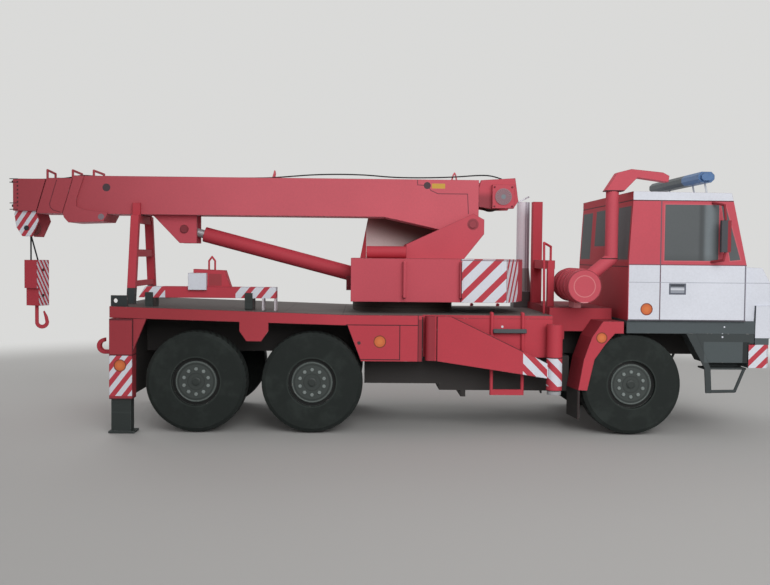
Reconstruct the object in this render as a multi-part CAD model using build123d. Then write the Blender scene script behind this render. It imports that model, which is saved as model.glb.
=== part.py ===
"""Card scale model of a three-axle truck crane, built piece by piece in millimetres."""
import math
import os

from build123d import *

# Driving dimensions in mm: X forward from the rearmost axle, Y to the machine's left, Z up from the floor.
CARD = 1.2
FIT = 0.35
RUN = 0.08
WHEEL_D = 36.2
WHEEL_W = 9.0
RIM_D = 17.2
AXLE_D = 3.0
BOGIE = 41.25
WHEELBASE = 114.6
BODY_W = 77.0
DECK_Z = 42.4
DECK_RISE = 2.4
SLEW_AHEAD = 33.4
TURNTABLE_D = 39.0
TURNTABLE_H = 4.3
TURRET_W = 56.0
TURRET_H = 15.9
TURRET_NOSE = 20.0
TURRET_TAIL = 45.6
PIVOT_BACK = 26.3
PIVOT_UP = 13.3
PIN_D = 2.9
BOOM_W = 17.0
BOOM_H = 14.5
BOOM_LIFT = 2.6
BOOM_REACH = 156.65
BOOM_TAIL = 2.5
WALL = 0.7
BOOM_SLANT = 4.3
COLLAR_2 = 9.75
HEAD_L = 8.45
BARREL_D = 5.9
ROD_D = 3.3
ARM_H = 15.9
JACK_D = 5.6
LEG_X = 8.1
LEG_Y = 6.0
CAB_L = 42.4
CAB_W = 78.0
CAB_ROOF_Z = 87.3
CAB_SILL_Z = 41.3
NOSE = 11.0

# Derived levels and stations.
WHEEL_R = WHEEL_D / 2
AXLE_X = (0.0, BOGIE, BOGIE + WHEELBASE)
FRONT_X = AXLE_X[2]
HALF = BODY_W / 2
WHEEL_FACE = HALF - 0.9
REAR_X = -WHEEL_R - 12.1
SLEW_X = BOGIE + SLEW_AHEAD
BEND_X = SLEW_X - TURRET_NOSE - 1.0
CAB_REAR = FRONT_X - 2.3
CAB_FRONT = CAB_REAR + CAB_L
NOSE_X = CAB_FRONT + NOSE
GUARD_REAR = FRONT_X - WHEEL_R - 4.2
DECK_END = GUARD_REAR - 5.5
PLATFORM_END = CAB_REAR - 2.5
TURRET_Z = DECK_Z + TURNTABLE_H
TURRET_TOP = TURRET_Z + TURRET_H
PIVOT_X = SLEW_X + PIVOT_BACK
PIVOT_Z = TURRET_TOP + PIVOT_UP
BOOM_Z = PIVOT_Z + BOOM_LIFT
BOOM_TOP = BOOM_Z + BOOM_H
BOOM_REAR = PIVOT_X + BOOM_TAIL
BOOM_FRONT = PIVOT_X - BOOM_REACH
MID_FRONT = BOOM_FRONT - COLLAR_2 - FIT
TIP_X = MID_FRONT - HEAD_L - FIT
PIN_X = TIP_X + 4.6
PIN_Z = BOOM_Z - 5.6
MIN_X = TIP_X - 1.4
ORIGIN_X = (MIN_X + NOSE_X) / 2

# Lift cylinder: fixed pin in the turret, rod eye in the boom's bracket.
LIFT_BASE = (SLEW_X - TURRET_NOSE + 3.4, TURRET_TOP - 7.1)
LIFT_EYE = (PIVOT_X - 111.2, PIVOT_Z - 2.8)
LIFT_ANGLE = math.degrees(math.atan2(LIFT_EYE[1] - LIFT_BASE[1], LIFT_BASE[0] - LIFT_EYE[0]))
LIFT_LENGTH = math.hypot(LIFT_EYE[0] - LIFT_BASE[0], LIFT_EYE[1] - LIFT_BASE[1])
BARREL_L = LIFT_LENGTH - 7.4

# Outrigger arm hinge and jack.
HINGE_X = SLEW_X + 8.5
HINGE_Y = HALF - 2.4
JACK_X = GUARD_REAR - 2.6 - JACK_D / 2
ARM_TOP = DECK_Z - 0.3
ARM_FOOT = ARM_TOP - ARM_H

# Winch drum on the boom's tail.
DRUM_X = BOOM_REAR + 6.2
DRUM_Z = BOOM_TOP - 6.2
DRUM_R = 5.3


def block(x0, x1, y0, y1, z0, z1):
    """Box between two corners."""
    return Pos((x0 + x1) / 2, (y0 + y1) / 2, (z0 + z1) / 2) * Box(x1 - x0, abs(y1 - y0), z1 - z0)


def slab(points, y0, y1):
    """Side profile in X and Z, carried across from y0 to y1."""
    face = make_face(Polyline([(x, 0, z) for x, z in points], close=True))
    return Pos(0, y0, 0) * extrude(face, amount=y1 - y0, dir=(0, 1, 0))


def plan(points, z0, z1):
    """Plan profile in X and Y, carried up from z0 to z1."""
    face = make_face(Polyline([(x, y, 0) for x, y in points], close=True))
    return Pos(0, 0, z0) * extrude(face, amount=z1 - z0, dir=(0, 0, 1))


def cross(points, x0, x1):
    """Front profile in Y and Z, carried along from x0 to x1."""
    face = make_face(Polyline([(0, y, z) for y, z in points], close=True))
    return Pos(x0, 0, 0) * extrude(face, amount=x1 - x0, dir=(1, 0, 0))


def bar_y(x, z, r, y0, y1):
    """Round bar across the machine."""
    return Pos(x, (y0 + y1) / 2, z) * Rot(90, 0, 0) * Cylinder(r, abs(y1 - y0))


def bar_z(x, y, r, z0, z1):
    """Upright round bar."""
    return Pos(x, y, (z0 + z1) / 2) * Cylinder(r, z1 - z0)


def bar_x(y, z, r, x0, x1):
    """Round bar along the machine."""
    return Pos((x0 + x1) / 2, y, z) * Rot(0, 90, 0) * Cylinder(r, x1 - x0)


def wire(points, r):
    """Bent wire through the points, with round elbows."""
    solid = None
    for a, b in zip(points, points[1:]):
        line = Vector(*b) - Vector(*a)
        stick = Plane(origin=a, z_dir=line) * Cylinder(
            r, line.length, align=(Align.CENTER, Align.CENTER, Align.MIN))
        solid = stick if solid is None else solid + stick
    for p in points[1:-1]:
        solid = solid + Pos(*p) * Sphere(r)
    return solid


def both(shape):
    """A right-hand piece and its mirror image on the left."""
    return [shape, mirror(shape, about=Plane.XZ)]


def deck_top(x):
    """Height of the deck, which climbs towards the rear."""
    return DECK_Z + max(0.0, DECK_RISE * (BEND_X - x) / (BEND_X - REAR_X))


def deck_line(drop):
    """Profile points along the deck from rear to front, a given drop below its top."""
    return [(REAR_X, deck_top(REAR_X) - drop), (BEND_X, DECK_Z - drop), (DECK_END, DECK_Z - drop)]


def on_boom(distance):
    """X of a station a given distance ahead of the boom's foot pin."""
    return PIVOT_X - distance


def slanted(x, z):
    """X at a height on a boom joint that passes x at the boom's underside and leans back above it."""
    return x + BOOM_SLANT * (z - BOOM_Z) / BOOM_H


PIECES = {}


def piece(name, *shapes):
    """Keep a finished piece, one or more solids, under its node's name."""
    solids = []
    for shape in shapes:
        for part in shape if isinstance(shape, list) else [shape]:
            solids.extend(part.solids())
    moved = [Pos(-ORIGIN_X, 0, 0) * s for s in solids]
    PIECES[name] = moved[0] if len(moved) == 1 else Compound(children=moved)


# Wheels: a tyre ring and a rim that turns on a stub of the axle.
HUB_FACE = 1.0
HUB_CAP = 1.1
tyre_points = [
    (RIM_D / 2, 0), (WHEEL_R - 1.6, 0), (WHEEL_R - 0.4, 0.7), (WHEEL_R, 2.0),
    (WHEEL_R, WHEEL_W - 2.0), (WHEEL_R - 0.4, WHEEL_W - 0.7), (WHEEL_R - 1.6, WHEEL_W),
    (RIM_D / 2, WHEEL_W)]
tyre_face = make_face(Polyline([(r, y, 0) for r, y in tyre_points], close=True))
TYRE = revolve(tyre_face, axis=Axis.Y)
rim_points = [
    (0, HUB_FACE), (RIM_D / 2 - 1.3, HUB_FACE), (RIM_D / 2 - 1.3, HUB_FACE + 0.7),
    (RIM_D / 2, HUB_FACE + 0.7), (RIM_D / 2, WHEEL_W - 0.6), (AXLE_D / 2 + RUN, WHEEL_W - 0.6),
    (AXLE_D / 2 + RUN, HUB_FACE + HUB_CAP), (0, HUB_FACE + HUB_CAP)]
RIM = revolve(make_face(Polyline([(r, y, 0) for r, y in rim_points], close=True)), axis=Axis.Y)
for x, station in zip(AXLE_X, ("rear", "middle", "front")):
    right = Pos(x, -WHEEL_FACE, WHEEL_R)
    left = Pos(x, WHEEL_FACE, WHEEL_R) * Rot(0, 0, 180)
    piece(f"tyre_{station}_right", right * TYRE)
    piece(f"rim_{station}_right", right * RIM)
    piece(f"tyre_{station}_left", left * TYRE)
    piece(f"rim_{station}_left", left * RIM)

# Axles: a round beam with a thinner stub at each end.
AXLE_BEAM_R = 3.4
BEAM_END = WHEEL_FACE - WHEEL_W - 0.6
STUB_END = WHEEL_FACE - HUB_FACE - HUB_CAP - FIT
axles = []
for x in AXLE_X:
    axle_beam = bar_y(x, WHEEL_R, AXLE_BEAM_R, -BEAM_END, BEAM_END)
    axles.append(axle_beam + bar_y(x, WHEEL_R, AXLE_D / 2, -STUB_END, STUB_END))
piece("axles", axles)

# Chassis frame: two rails, axle hangers, cross members and the dark boxes between the axles.
RAIL_IN, RAIL_OUT = 9.0, 15.0
BUMPER_X = CAB_FRONT + 4.0
RAIL_FOOT = WHEEL_R + 9.0
BOX_FRONT = SLEW_X + 12.9
BOX_END = GUARD_REAR + 2.0
BOX_HALF = HALF - 12.5
LEG_END = REAR_X + LEG_X
LOW_RAIL_Z = DECK_Z - 6.0
MEMBER = 4.0
HANGER = 5.0
rail_top = [(LEG_END, deck_top(LEG_END) - CARD), (BEND_X, DECK_Z - CARD),
            (DECK_END, DECK_Z - CARD), (DECK_END, LOW_RAIL_Z), (BUMPER_X, LOW_RAIL_Z)]
rail_side = rail_top + [(BUMPER_X, RAIL_FOOT), (LEG_END, RAIL_FOOT)]
frame = slab(rail_side, -RAIL_OUT, -RAIL_IN) + slab(rail_side, RAIL_IN, RAIL_OUT)
for x in (LEG_END, SLEW_X - 6.0, BUMPER_X - MEMBER):
    frame += block(x, x + MEMBER, -RAIL_IN, RAIL_IN, RAIL_FOOT, LOW_RAIL_Z)
for x in AXLE_X:
    frame += block(x - HANGER, x + HANGER, -RAIL_OUT, RAIL_OUT, WHEEL_R - HANGER, RAIL_FOOT + MEMBER)
BOX_TOP = ARM_FOOT + 1.0
BOX_MID_FOOT = BOX_TOP - 10.6
BOX_LOW_FOOT = BOX_TOP - 13.0
KEEL_X, KEEL_L, KEEL_H = BOX_FRONT + 8.0, 1.8, 2.4
frame += block(AXLE_X[1] + WHEEL_R + 0.6, BOX_FRONT, -BOX_HALF, BOX_HALF, BOX_MID_FOOT, BOX_TOP)
frame += block(BOX_FRONT, BOX_END, -BOX_HALF, BOX_HALF, BOX_LOW_FOOT, BOX_TOP)
frame += block(KEEL_X, KEEL_X + KEEL_L, -BOX_HALF, BOX_HALF, BOX_LOW_FOOT - KEEL_H, BOX_LOW_FOOT)
for axle in axles:
    frame -= axle
piece("chassis_frame", frame)

# Deck board.
BOX_NOSE = HINGE_X - 2.6
PANEL_Y = HALF - 5.5
board = slab(deck_line(0.0) + deck_line(CARD)[::-1], -(HALF - CARD), HALF - CARD)
for y0, y1 in ((-HALF, -PANEL_Y), (PANEL_Y, HALF)):
    board -= block(BOX_NOSE, DECK_END + 1.0, y0, y1, DECK_Z - 2 * CARD, DECK_Z + CARD)
piece("deck", board)

# Body sides: rear band, tool box with a sloping end, recessed panel behind the arm.
BAND_H = 4.0
BOX_REAR = BEND_X
GAP_MID = BOGIE / 2
BOX_SLOPE = 5.0
BOX_FOOT = ARM_FOOT - 0.2
FACE_TOP = DECK_Z - 3.4
band = slab([(REAR_X, deck_top(REAR_X)), (BEND_X, DECK_Z), (BOX_NOSE, DECK_Z),
             (BOX_NOSE, DECK_Z - BAND_H), (BEND_X - BAND_H, DECK_Z - BAND_H + 0.4),
             (REAR_X, deck_top(REAR_X) - BAND_H)], -HALF, -HALF + CARD)
TAB_W, TAB_FOOT_W = 10.2, 5.2
TAB_Z = DECK_Z - 9.6
tab = slab([(GAP_MID - TAB_W / 2, DECK_Z - 1.8), (GAP_MID + TAB_W / 2, DECK_Z - 1.8),
            (GAP_MID + TAB_W / 2, TAB_Z + 3.6), (GAP_MID + TAB_FOOT_W / 2, TAB_Z),
            (GAP_MID - TAB_FOOT_W / 2, TAB_Z), (GAP_MID - TAB_W / 2, TAB_Z + 3.6)], -HALF, -HALF + CARD)
tool_box = slab([(BOX_REAR, DECK_Z - CARD), (BOX_NOSE, DECK_Z - CARD), (BOX_NOSE, BOX_FOOT),
                 (BOX_REAR + BOX_SLOPE, BOX_FOOT), (BOX_REAR, FACE_TOP)], -HALF + CARD, -BOX_HALF)
tool_face = slab([(BOX_REAR, FACE_TOP), (BOX_NOSE, FACE_TOP), (BOX_NOSE, BOX_FOOT),
                  (BOX_REAR + BOX_SLOPE, BOX_FOOT)], -HALF, -HALF + CARD)
panel = block(BOX_NOSE, DECK_END, -PANEL_Y, -PANEL_Y + CARD, BOX_TOP, DECK_Z - CARD)
shelf = block(BOX_NOSE, DECK_END, -PANEL_Y, -BOX_HALF, BOX_TOP, BOX_TOP + CARD)
piece("body_sides", both(band + tab + tool_box + tool_face + panel + shelf))

# Rear cross beam, leg housings, tow hooks.
BEAM_FOOT = DECK_Z - 15.9
LEG_IN = HALF + 0.5 - LEG_Y
LEG_TOP = deck_top(REAR_X) - BAND_H - 0.35
LEG_FOOT = 12.0
LEG_WALL = 0.35
LEG_GAP = LEG_WALL + 0.25
LEG_HOLD = 10.0
GUSSET_L, GUSSET_H = 4.8, 11.8
PLATE_T = 0.6
PLATE_OVER = 0.5
LEG_OUT = LEG_IN + LEG_Y
rear_beam = slab([(REAR_X, deck_top(REAR_X) - CARD), (LEG_END, deck_top(LEG_END) - CARD),
                  (LEG_END, BEAM_FOOT), (REAR_X, BEAM_FOOT)], -LEG_IN, LEG_IN)
housing = block(REAR_X, LEG_END, -LEG_OUT, -LEG_IN, LEG_FOOT, LEG_TOP)
housing -= block(REAR_X + LEG_WALL, LEG_END - LEG_WALL, -LEG_OUT + LEG_WALL, -LEG_IN - LEG_WALL,
                 LEG_FOOT - CARD, LEG_TOP - WALL)
housing += slab([(LEG_END, LEG_TOP), (LEG_END + GUSSET_L, LEG_TOP), (LEG_END, LEG_TOP - GUSSET_H)],
                -HALF, -HALF + CARD)
piece("rear_leg_housings", both(housing))
rear_leg = block(REAR_X + LEG_GAP, LEG_END - LEG_GAP, -LEG_OUT + LEG_GAP, -LEG_IN - LEG_GAP,
                 PLATE_T, LEG_FOOT + LEG_HOLD)
rear_leg += block(REAR_X - 0.2, LEG_END + 0.9, -LEG_OUT - PLATE_OVER, -LEG_IN + PLATE_OVER, 0.0, PLATE_T)
piece("rear_jack_right", rear_leg)
piece("rear_jack_left", mirror(rear_leg, about=Plane.XZ))
TOW_R, TOW_T = 2.9, 1.4
TOW_X = REAR_X - 4.4
TOW_Z = BEAM_FOOT + TOW_R + 0.4
TOW_Y0, TOW_Y1 = -28.2, -26.0
tow_hook = bar_y(TOW_X, TOW_Z, TOW_R, TOW_Y0, TOW_Y1)
tow_hook -= bar_y(TOW_X, TOW_Z, TOW_R - TOW_T, TOW_Y0 - CARD, TOW_Y1 + CARD)
tow_hook -= block(TOW_X, TOW_X + TOW_R, TOW_Y0 - CARD, TOW_Y1 + CARD, TOW_Z - TOW_R + TOW_T, TOW_Z + TOW_R)
tow_hook += block(TOW_X, REAR_X, TOW_Y0, TOW_Y1, TOW_Z - TOW_R, TOW_Z - TOW_R + TOW_T)
piece("rear_beam", rear_beam + tow_hook + mirror(tow_hook, about=Plane.XZ))

# Boom rest: two uprights that lean together, rungs and a saddle under the boom.
REST_X = SLEW_X - 102.1
REST_T = 3.1
RUNG_IN = 0.4
REST_W = 2.6
REST_TOP_Y = BOOM_W / 2 + 2.7
REST_FOOT_Y = REST_TOP_Y + 7.0
SADDLE_Z = BOOM_Z - FIT
rest_foot = deck_top(REST_X + REST_T / 2)


def rest_y(z):
    """Distance of an upright's middle from the centre plane at a height."""
    return REST_FOOT_Y + (REST_TOP_Y - REST_FOOT_Y) * (z - rest_foot) / (SADDLE_Z - rest_foot)


upright = cross([(-REST_FOOT_Y - REST_W / 2, rest_foot), (-REST_FOOT_Y + REST_W / 2, rest_foot),
                 (-REST_TOP_Y + REST_W / 2, SADDLE_Z), (-REST_TOP_Y - REST_W / 2, SADDLE_Z)],
                REST_X - REST_T / 2, REST_X + REST_T / 2)
rest = upright + mirror(upright, about=Plane.XZ)
rest -= slab(deck_line(0.0) + [(DECK_END, 0.0), (REAR_X, 0.0)], -HALF, HALF)
for z, h in ((SADDLE_Z - 3.0, 3.0), (rest_foot + 17.6, 2.8), (rest_foot + 6.4, 2.0)):
    reach = rest_y(z + h / 2)
    rest += block(REST_X - REST_T / 2 + RUNG_IN, REST_X + REST_T / 2 - RUNG_IN, -reach, reach, z, z + h)
LUG_L, LUG_H, LUG_HOLE = 5.9, 3.8, 0.8
LUG_Y = HALF - 3.1
LUG_TOP = deck_top(REAR_X) + LUG_H
lug = slab([(REAR_X, deck_top(REAR_X)), (REAR_X + LUG_L, deck_top(REAR_X + LUG_L)),
            (REAR_X + LUG_L, LUG_TOP), (REAR_X, LUG_TOP)], -LUG_Y - CARD, -LUG_Y)
lug -= bar_y(REAR_X + 2 * LUG_HOLE, LUG_TOP - LUG_H / 2, LUG_HOLE, -HALF, -LUG_Y + CARD)
piece("boom_rest", rest, both(lug))

# Lifting beam stowed along the right of the deck, on two cross bearers and two end posts.
STOW_X = REST_X + 5.5
STOW_L = 44.5
STOW_Y0, STOW_Y1 = -30.0, -24.0
STOW_H = 4.0
STOW_SLOPE = 2.4
BEARER = 3.0
POST_T = 0.7
STOW_END = STOW_X + STOW_L
END_L = 5.1
BEAM_Z = deck_top(STOW_X) + 3.1
TOP_Z = BEAM_Z + STOW_H
beam = slab([(STOW_X, BEAM_Z), (STOW_X + STOW_SLOPE, TOP_Z), (STOW_END + END_L, TOP_Z),
             (STOW_END + END_L, BEAM_Z)], STOW_Y0, STOW_Y1)
for x, wide in ((STOW_X + BEARER, BEARER), (STOW_END - 2 * BEARER, BEARER),
                (STOW_END, POST_T), (STOW_END + END_L - POST_T, POST_T)):
    beam += slab([(x, deck_top(x)), (x + wide, deck_top(x + wide)), (x + wide, BEAM_Z), (x, BEAM_Z)],
                 STOW_Y0, STOW_Y1)
piece("lifting_beam", beam)
PAD_X = STOW_X + 18.0
PAD_L, PAD_H, PAD_DROP = 6.6, 5.0, 1.1
HOUSING_H = 6.4
housing_top = slab([(PAD_X + PAD_L, TOP_Z), (PAD_X + 15.0, TOP_Z), (PAD_X + 13.0, TOP_Z + HOUSING_H - 0.4),
                    (PAD_X + 1.6, TOP_Z + HOUSING_H), (PAD_X + 1.6, TOP_Z + PAD_H),
                    (PAD_X + PAD_L, TOP_Z + PAD_H)], STOW_Y0 + 0.8, STOW_Y1 - 0.4)
pad = block(PAD_X, PAD_X + PAD_L, STOW_Y0, STOW_Y1, TOP_Z, TOP_Z + PAD_H)
pad += block(PAD_X, PAD_X + PAD_L, STOW_Y0 - CARD, STOW_Y0, TOP_Z - PAD_DROP, TOP_Z + PAD_H)
EYE_X = PAD_X + 8.0
EYE_Y = (STOW_Y0 + STOW_Y1) / 2
EYE_HALF = 1.1
EYE_Z = TOP_Z + HOUSING_H - 0.6
eye = wire([(EYE_X - EYE_HALF, EYE_Y, EYE_Z), (EYE_X - EYE_HALF, EYE_Y, EYE_Z + 3.6),
            (EYE_X, EYE_Y, EYE_Z + 5.1), (EYE_X + EYE_HALF, EYE_Y, EYE_Z + 3.6),
            (EYE_X + EYE_HALF, EYE_Y, EYE_Z)], FIT)
piece("beam_housing", housing_top + pad + eye)

# Turntable drum under the turret.
piece("turntable", bar_z(SLEW_X, 0, TURNTABLE_D / 2, DECK_Z, TURRET_Z - FIT))

# Platform across the machine behind the cab, under the air filter.
FILTER_X = GUARD_REAR + 4.7
FILTER_R = 6.0
POST_X = FILTER_X - FILTER_R - 3.85
PLATFORM_Z = DECK_Z + 2.6
PLATFORM_Y = HALF - 12.0
LEDGE_Z = DECK_Z - 2.6
platform = block(DECK_END, PLATFORM_END, -PLATFORM_Y, PLATFORM_Y, LEDGE_Z, PLATFORM_Z)
platform += block(DECK_END, FRONT_X - 11.6, -PLATFORM_Y, PLATFORM_Y, LOW_RAIL_Z, LEDGE_Z)
for y0, y1 in ((-PLATFORM_Y, -RAIL_OUT), (RAIL_OUT, PLATFORM_Y)):
    platform += block(DECK_END, GUARD_REAR, y0, y1, LOW_RAIL_Z - 3.0, LOW_RAIL_Z)
piece("platform", platform)

# Exhaust stack on the left, its foot standing partly on the platform.
STACK_X = SLEW_X + 51.8
STACK_Y = 26.0
STACK_R = 2.7
STACK_TOP = DECK_Z + 44.2
STACK_FOOT = 4.3
CONE_Z, CONE_H, CONE_FLARE = DECK_Z + 6.8, 9.7, 1.1
FLAP_L, FLAP_W, FLAP_T = 5.0, 3.6, 0.6
stack = bar_z(STACK_X, STACK_Y, STACK_R, CONE_Z + CONE_H, STACK_TOP)
stack += Pos(STACK_X, STACK_Y, CONE_Z + CONE_H / 2) * Cone(STACK_R + CONE_FLARE, STACK_R, CONE_H)
stack += block(STACK_X - STACK_FOOT, STACK_X + STACK_FOOT, STACK_Y - STACK_FOOT, STACK_Y + STACK_FOOT,
               DECK_Z, CONE_Z)
rain_flap = block(0, FLAP_L, -FLAP_W / 2, FLAP_W / 2, -FLAP_T / 2, FLAP_T / 2)
stack += Pos(STACK_X - STACK_R + 0.4, STACK_Y, STACK_TOP) * Rot(0, -27, 0) * rain_flap
piece("exhaust_stack", stack - platform)

# Equipment frame: tall post, cross bar, short post and a grab rail.
TALL_W, TALL_Y, TALL_TOP = 3.9, 13.4, DECK_Z + 43.8
SHORT_X, SHORT_W, SHORT_Y, SHORT_TOP = POST_X + 0.7, 2.5, -13.8, DECK_Z + 20.0
RACK_BAR_H = 3.3
RAIL_R = 0.45
RAIL_TOP = DECK_Z + 26.6
RAIL_X = POST_X - 1.2
rack = block(POST_X, POST_X + TALL_W, TALL_Y, TALL_Y + 4.0, PLATFORM_Z, TALL_TOP)
rack += block(SHORT_X, SHORT_X + SHORT_W, SHORT_Y - SHORT_W, SHORT_Y, PLATFORM_Z, SHORT_TOP)
rack += block(SHORT_X, POST_X + TALL_W, SHORT_Y, TALL_Y, SHORT_TOP - RACK_BAR_H, SHORT_TOP)
rail_end = (SHORT_X + SHORT_W / 2, SHORT_Y - SHORT_W / 2)
rack += wire([(RAIL_X, -20.0, DECK_Z), (RAIL_X, -18.0, RAIL_TOP), (*rail_end, RAIL_TOP - 1.4),
              (*rail_end, SHORT_TOP - 1.0)], RAIL_R)
piece("equipment_frame", rack - platform - board)

# Air filter drum across the platform and its intake pipe up the cab's back wall.
FILTER_Z = PLATFORM_Z + 2.3 + FILTER_R
FILTER_FACE = -HALF + 0.5
FILTER_L = 28.5
RIB_STEP = 6.0
SADDLE_HALF = 1.4
filter_drum = bar_y(FILTER_X, FILTER_Z, FILTER_R, FILTER_FACE, FILTER_FACE + FILTER_L)
for i in range(4):
    rib_y = -HALF + RIB_STEP * (i + 1)
    filter_drum += bar_y(FILTER_X, FILTER_Z, FILTER_R + FIT, rib_y, rib_y + CARD)
filter_drum += block(FILTER_X - SADDLE_HALF, FILTER_X + SADDLE_HALF, -PLATFORM_Y, -HALF + 20.0,
                     PLATFORM_Z, FILTER_Z)
piece("air_filter", filter_drum)
PIPE_X = CAB_REAR - 4.6
PIPE_Y = -HALF + 6.0
PIPE_R = 2.3
ELBOW_Z = FILTER_Z + 10.0
DUCT_Z = CAB_ROOF_Z + 0.2
pipe = bar_z(PIPE_X, PIPE_Y, PIPE_R, ELBOW_Z, DUCT_Z)
pipe += Pos(PIPE_X, PIPE_Y, ELBOW_Z) * Sphere(PIPE_R)
elbow_from = (FILTER_X + 2.6, PIPE_Y, FILTER_Z + 3.4)
elbow_line = Vector(PIPE_X, PIPE_Y, ELBOW_Z) - Vector(*elbow_from)
pipe += Plane(origin=elbow_from, z_dir=elbow_line) * Cylinder(
    PIPE_R, elbow_line.length, align=(Align.CENTER, Align.CENTER, Align.MIN))
duct_points = [(-3.1, 0), (3.6, 0), (8.4, 5.0), (19.6, 3.5), (19.9, 5.7), (17.6, 6.9), (6.2, 8.0),
               (1.2, 6.7)]
duct = slab([(PIPE_X + x, DUCT_Z + z) for x, z in duct_points], PIPE_Y - PIPE_R, PIPE_Y + PIPE_R)
piece("intake_pipe", (pipe + duct) - filter_drum)

# Cab: body shell, roof cap, front bulge, mirrors, light bar.
CAB_H = CAB_W / 2
ROOF_T = 3.2
PILLAR = 5.2
EAVES = CAB_ROOF_Z - ROOF_T
WAIST = CAB_SILL_Z + 20.0
REAR_LEAN = 1.3
ROOF_REAR = CAB_REAR + REAR_LEAN
ROOF_FRONT = CAB_FRONT - PILLAR
cab_out = [(CAB_REAR, CAB_SILL_Z), (CAB_FRONT, CAB_SILL_Z), (CAB_FRONT, WAIST), (ROOF_FRONT, EAVES),
           (ROOF_REAR, EAVES), (CAB_REAR, WAIST)]
cab_in = [(CAB_REAR + CARD, CAB_SILL_Z - 1.0), (CAB_FRONT - CARD, CAB_SILL_Z - 1.0),
          (CAB_FRONT - CARD, WAIST - 0.1), (ROOF_FRONT - CARD, EAVES + 1.0),
          (ROOF_REAR + CARD, EAVES + 1.0), (CAB_REAR + CARD, WAIST)]
cab = slab(cab_out, -CAB_H, CAB_H) - slab(cab_in, -CAB_H + CARD, CAB_H - CARD)
roof_side = [(ROOF_REAR, EAVES), (ROOF_FRONT, EAVES), (ROOF_FRONT - 0.7, CAB_ROOF_Z - 0.3),
             (ROOF_REAR, CAB_ROOF_Z)]
roof = slab(roof_side, -CAB_H, CAB_H)
piece("cab_shell", cab + roof)
LAMP_TOP = CAB_SILL_Z + 5.6
LAMP_FOOT = CAB_SILL_Z - 6.1
NOSE_GAP = 0.1
bulge = [(CAB_FRONT, WAIST - 0.6), (CAB_FRONT + 6.5, WAIST - 0.9), (CAB_FRONT + 9.3, WAIST - 6.0),
         (CAB_FRONT + 9.8, LAMP_TOP), (BUMPER_X + NOSE_GAP, LAMP_TOP), (BUMPER_X - NOSE_GAP, CAB_SILL_Z),
         (CAB_FRONT, CAB_SILL_Z)]
piece("cab_nose", slab(bulge, -CAB_H + 2.0, CAB_H - 2.0))
SKIRT_H = 4.6
SKIRT_FOOT = CAB_SILL_Z - SKIRT_H
SKIRT_Y = HALF - 0.5
skirt = block(CAB_REAR, BUMPER_X - NOSE_GAP, -SKIRT_Y, -SKIRT_Y + CARD, SKIRT_FOOT, CAB_SILL_Z)
floor_pan = block(CAB_REAR, CAB_FRONT, -SKIRT_Y + CARD, SKIRT_Y - CARD, CAB_SILL_Z - CARD, CAB_SILL_Z)
sill = skirt + mirror(skirt, about=Plane.XZ) + floor_pan
CROSS_L = 6.0
for x in (CAB_REAR + 8.0, CAB_FRONT - 10.0):
    sill += block(x, x + CROSS_L, -RAIL_OUT, RAIL_OUT, LOW_RAIL_Z, CAB_SILL_Z - CARD)
piece("cab_base", sill)
STEP_Z = CAB_SILL_Z - 17.4
STEP_T = 0.6
FOOT_X = FRONT_X + WHEEL_R + 4.2
PANEL_FOOT = CAB_SILL_Z - 15.0
BUMPER_FOOT = CAB_SILL_Z - 16.8
BUMPER_H = 8.4
BUMPER_REAR = BUMPER_X - 2.2
BUMPER_MID = BUMPER_FOOT + BUMPER_H
WELL_Y = HALF - 12.0
front_box = slab([(FOOT_X - 2.0, SKIRT_FOOT), (BUMPER_X - FIT, SKIRT_FOOT),
                  (BUMPER_X - FIT, BUMPER_MID + FIT), (BUMPER_REAR - FIT, BUMPER_MID + FIT),
                  (BUMPER_REAR - FIT, PANEL_FOOT), (FOOT_X + 4.0, PANEL_FOOT)], -SKIRT_Y, -WELL_Y)
step = block(FOOT_X + 3.6, CAB_FRONT + 1.0, -HALF + 0.3, -HALF + 7.0, STEP_Z, STEP_Z + STEP_T)
step += block(FOOT_X + 5.0, CAB_FRONT + 1.0, -HALF + 5.0, -HALF + 5.0 + CARD, STEP_Z + STEP_T, PANEL_FOOT)
arch_points = [(-3.2, SKIRT_FOOT), (0.4, SKIRT_FOOT), (5.8, STEP_Z + STEP_T), (6.3, STEP_Z - 8.5),
               (4.2, STEP_Z - 8.5), (3.6, STEP_Z + STEP_T)]
step += slab([(FOOT_X + x, z) for x, z in arch_points], -HALF - 0.1, -SKIRT_Y)
RUNG_R = 0.55
RUNG_Y = -SKIRT_Y + 0.2
step += wire([(FOOT_X + 5.0, RUNG_Y, STEP_Z - 8.0), (CAB_FRONT - 2.9, RUNG_Y, STEP_Z - 7.8),
              (CAB_FRONT + 0.4, RUNG_Y, STEP_Z + STEP_T / 2)], RUNG_R)
piece("cab_steps", both(step + front_box))
CORNER_X, CORNER_Y = 2.6, 5.0
bumper = plan([(BUMPER_X, -SKIRT_Y), (NOSE_X - CORNER_X, -SKIRT_Y), (NOSE_X, -SKIRT_Y + CORNER_Y),
               (NOSE_X, SKIRT_Y - CORNER_Y), (NOSE_X - CORNER_X, SKIRT_Y), (BUMPER_X, SKIRT_Y)],
              BUMPER_FOOT, BUMPER_MID)
for y0, y1 in ((-SKIRT_Y, -WELL_Y), (WELL_Y, SKIRT_Y)):
    bumper += block(BUMPER_REAR, BUMPER_X, y0, y1, BUMPER_FOOT, BUMPER_MID)
bumper += block(BUMPER_X, NOSE_X - 2.0, -SKIRT_Y, SKIRT_Y, BUMPER_MID, LAMP_FOOT)
lamp = slab([(BUMPER_X, LAMP_FOOT), (NOSE_X - 1.6, LAMP_FOOT), (NOSE_X - 1.8, LAMP_TOP),
             (BUMPER_X + 2 * NOSE_GAP, LAMP_TOP)], -SKIRT_Y, -HALF + 16.0)
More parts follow.
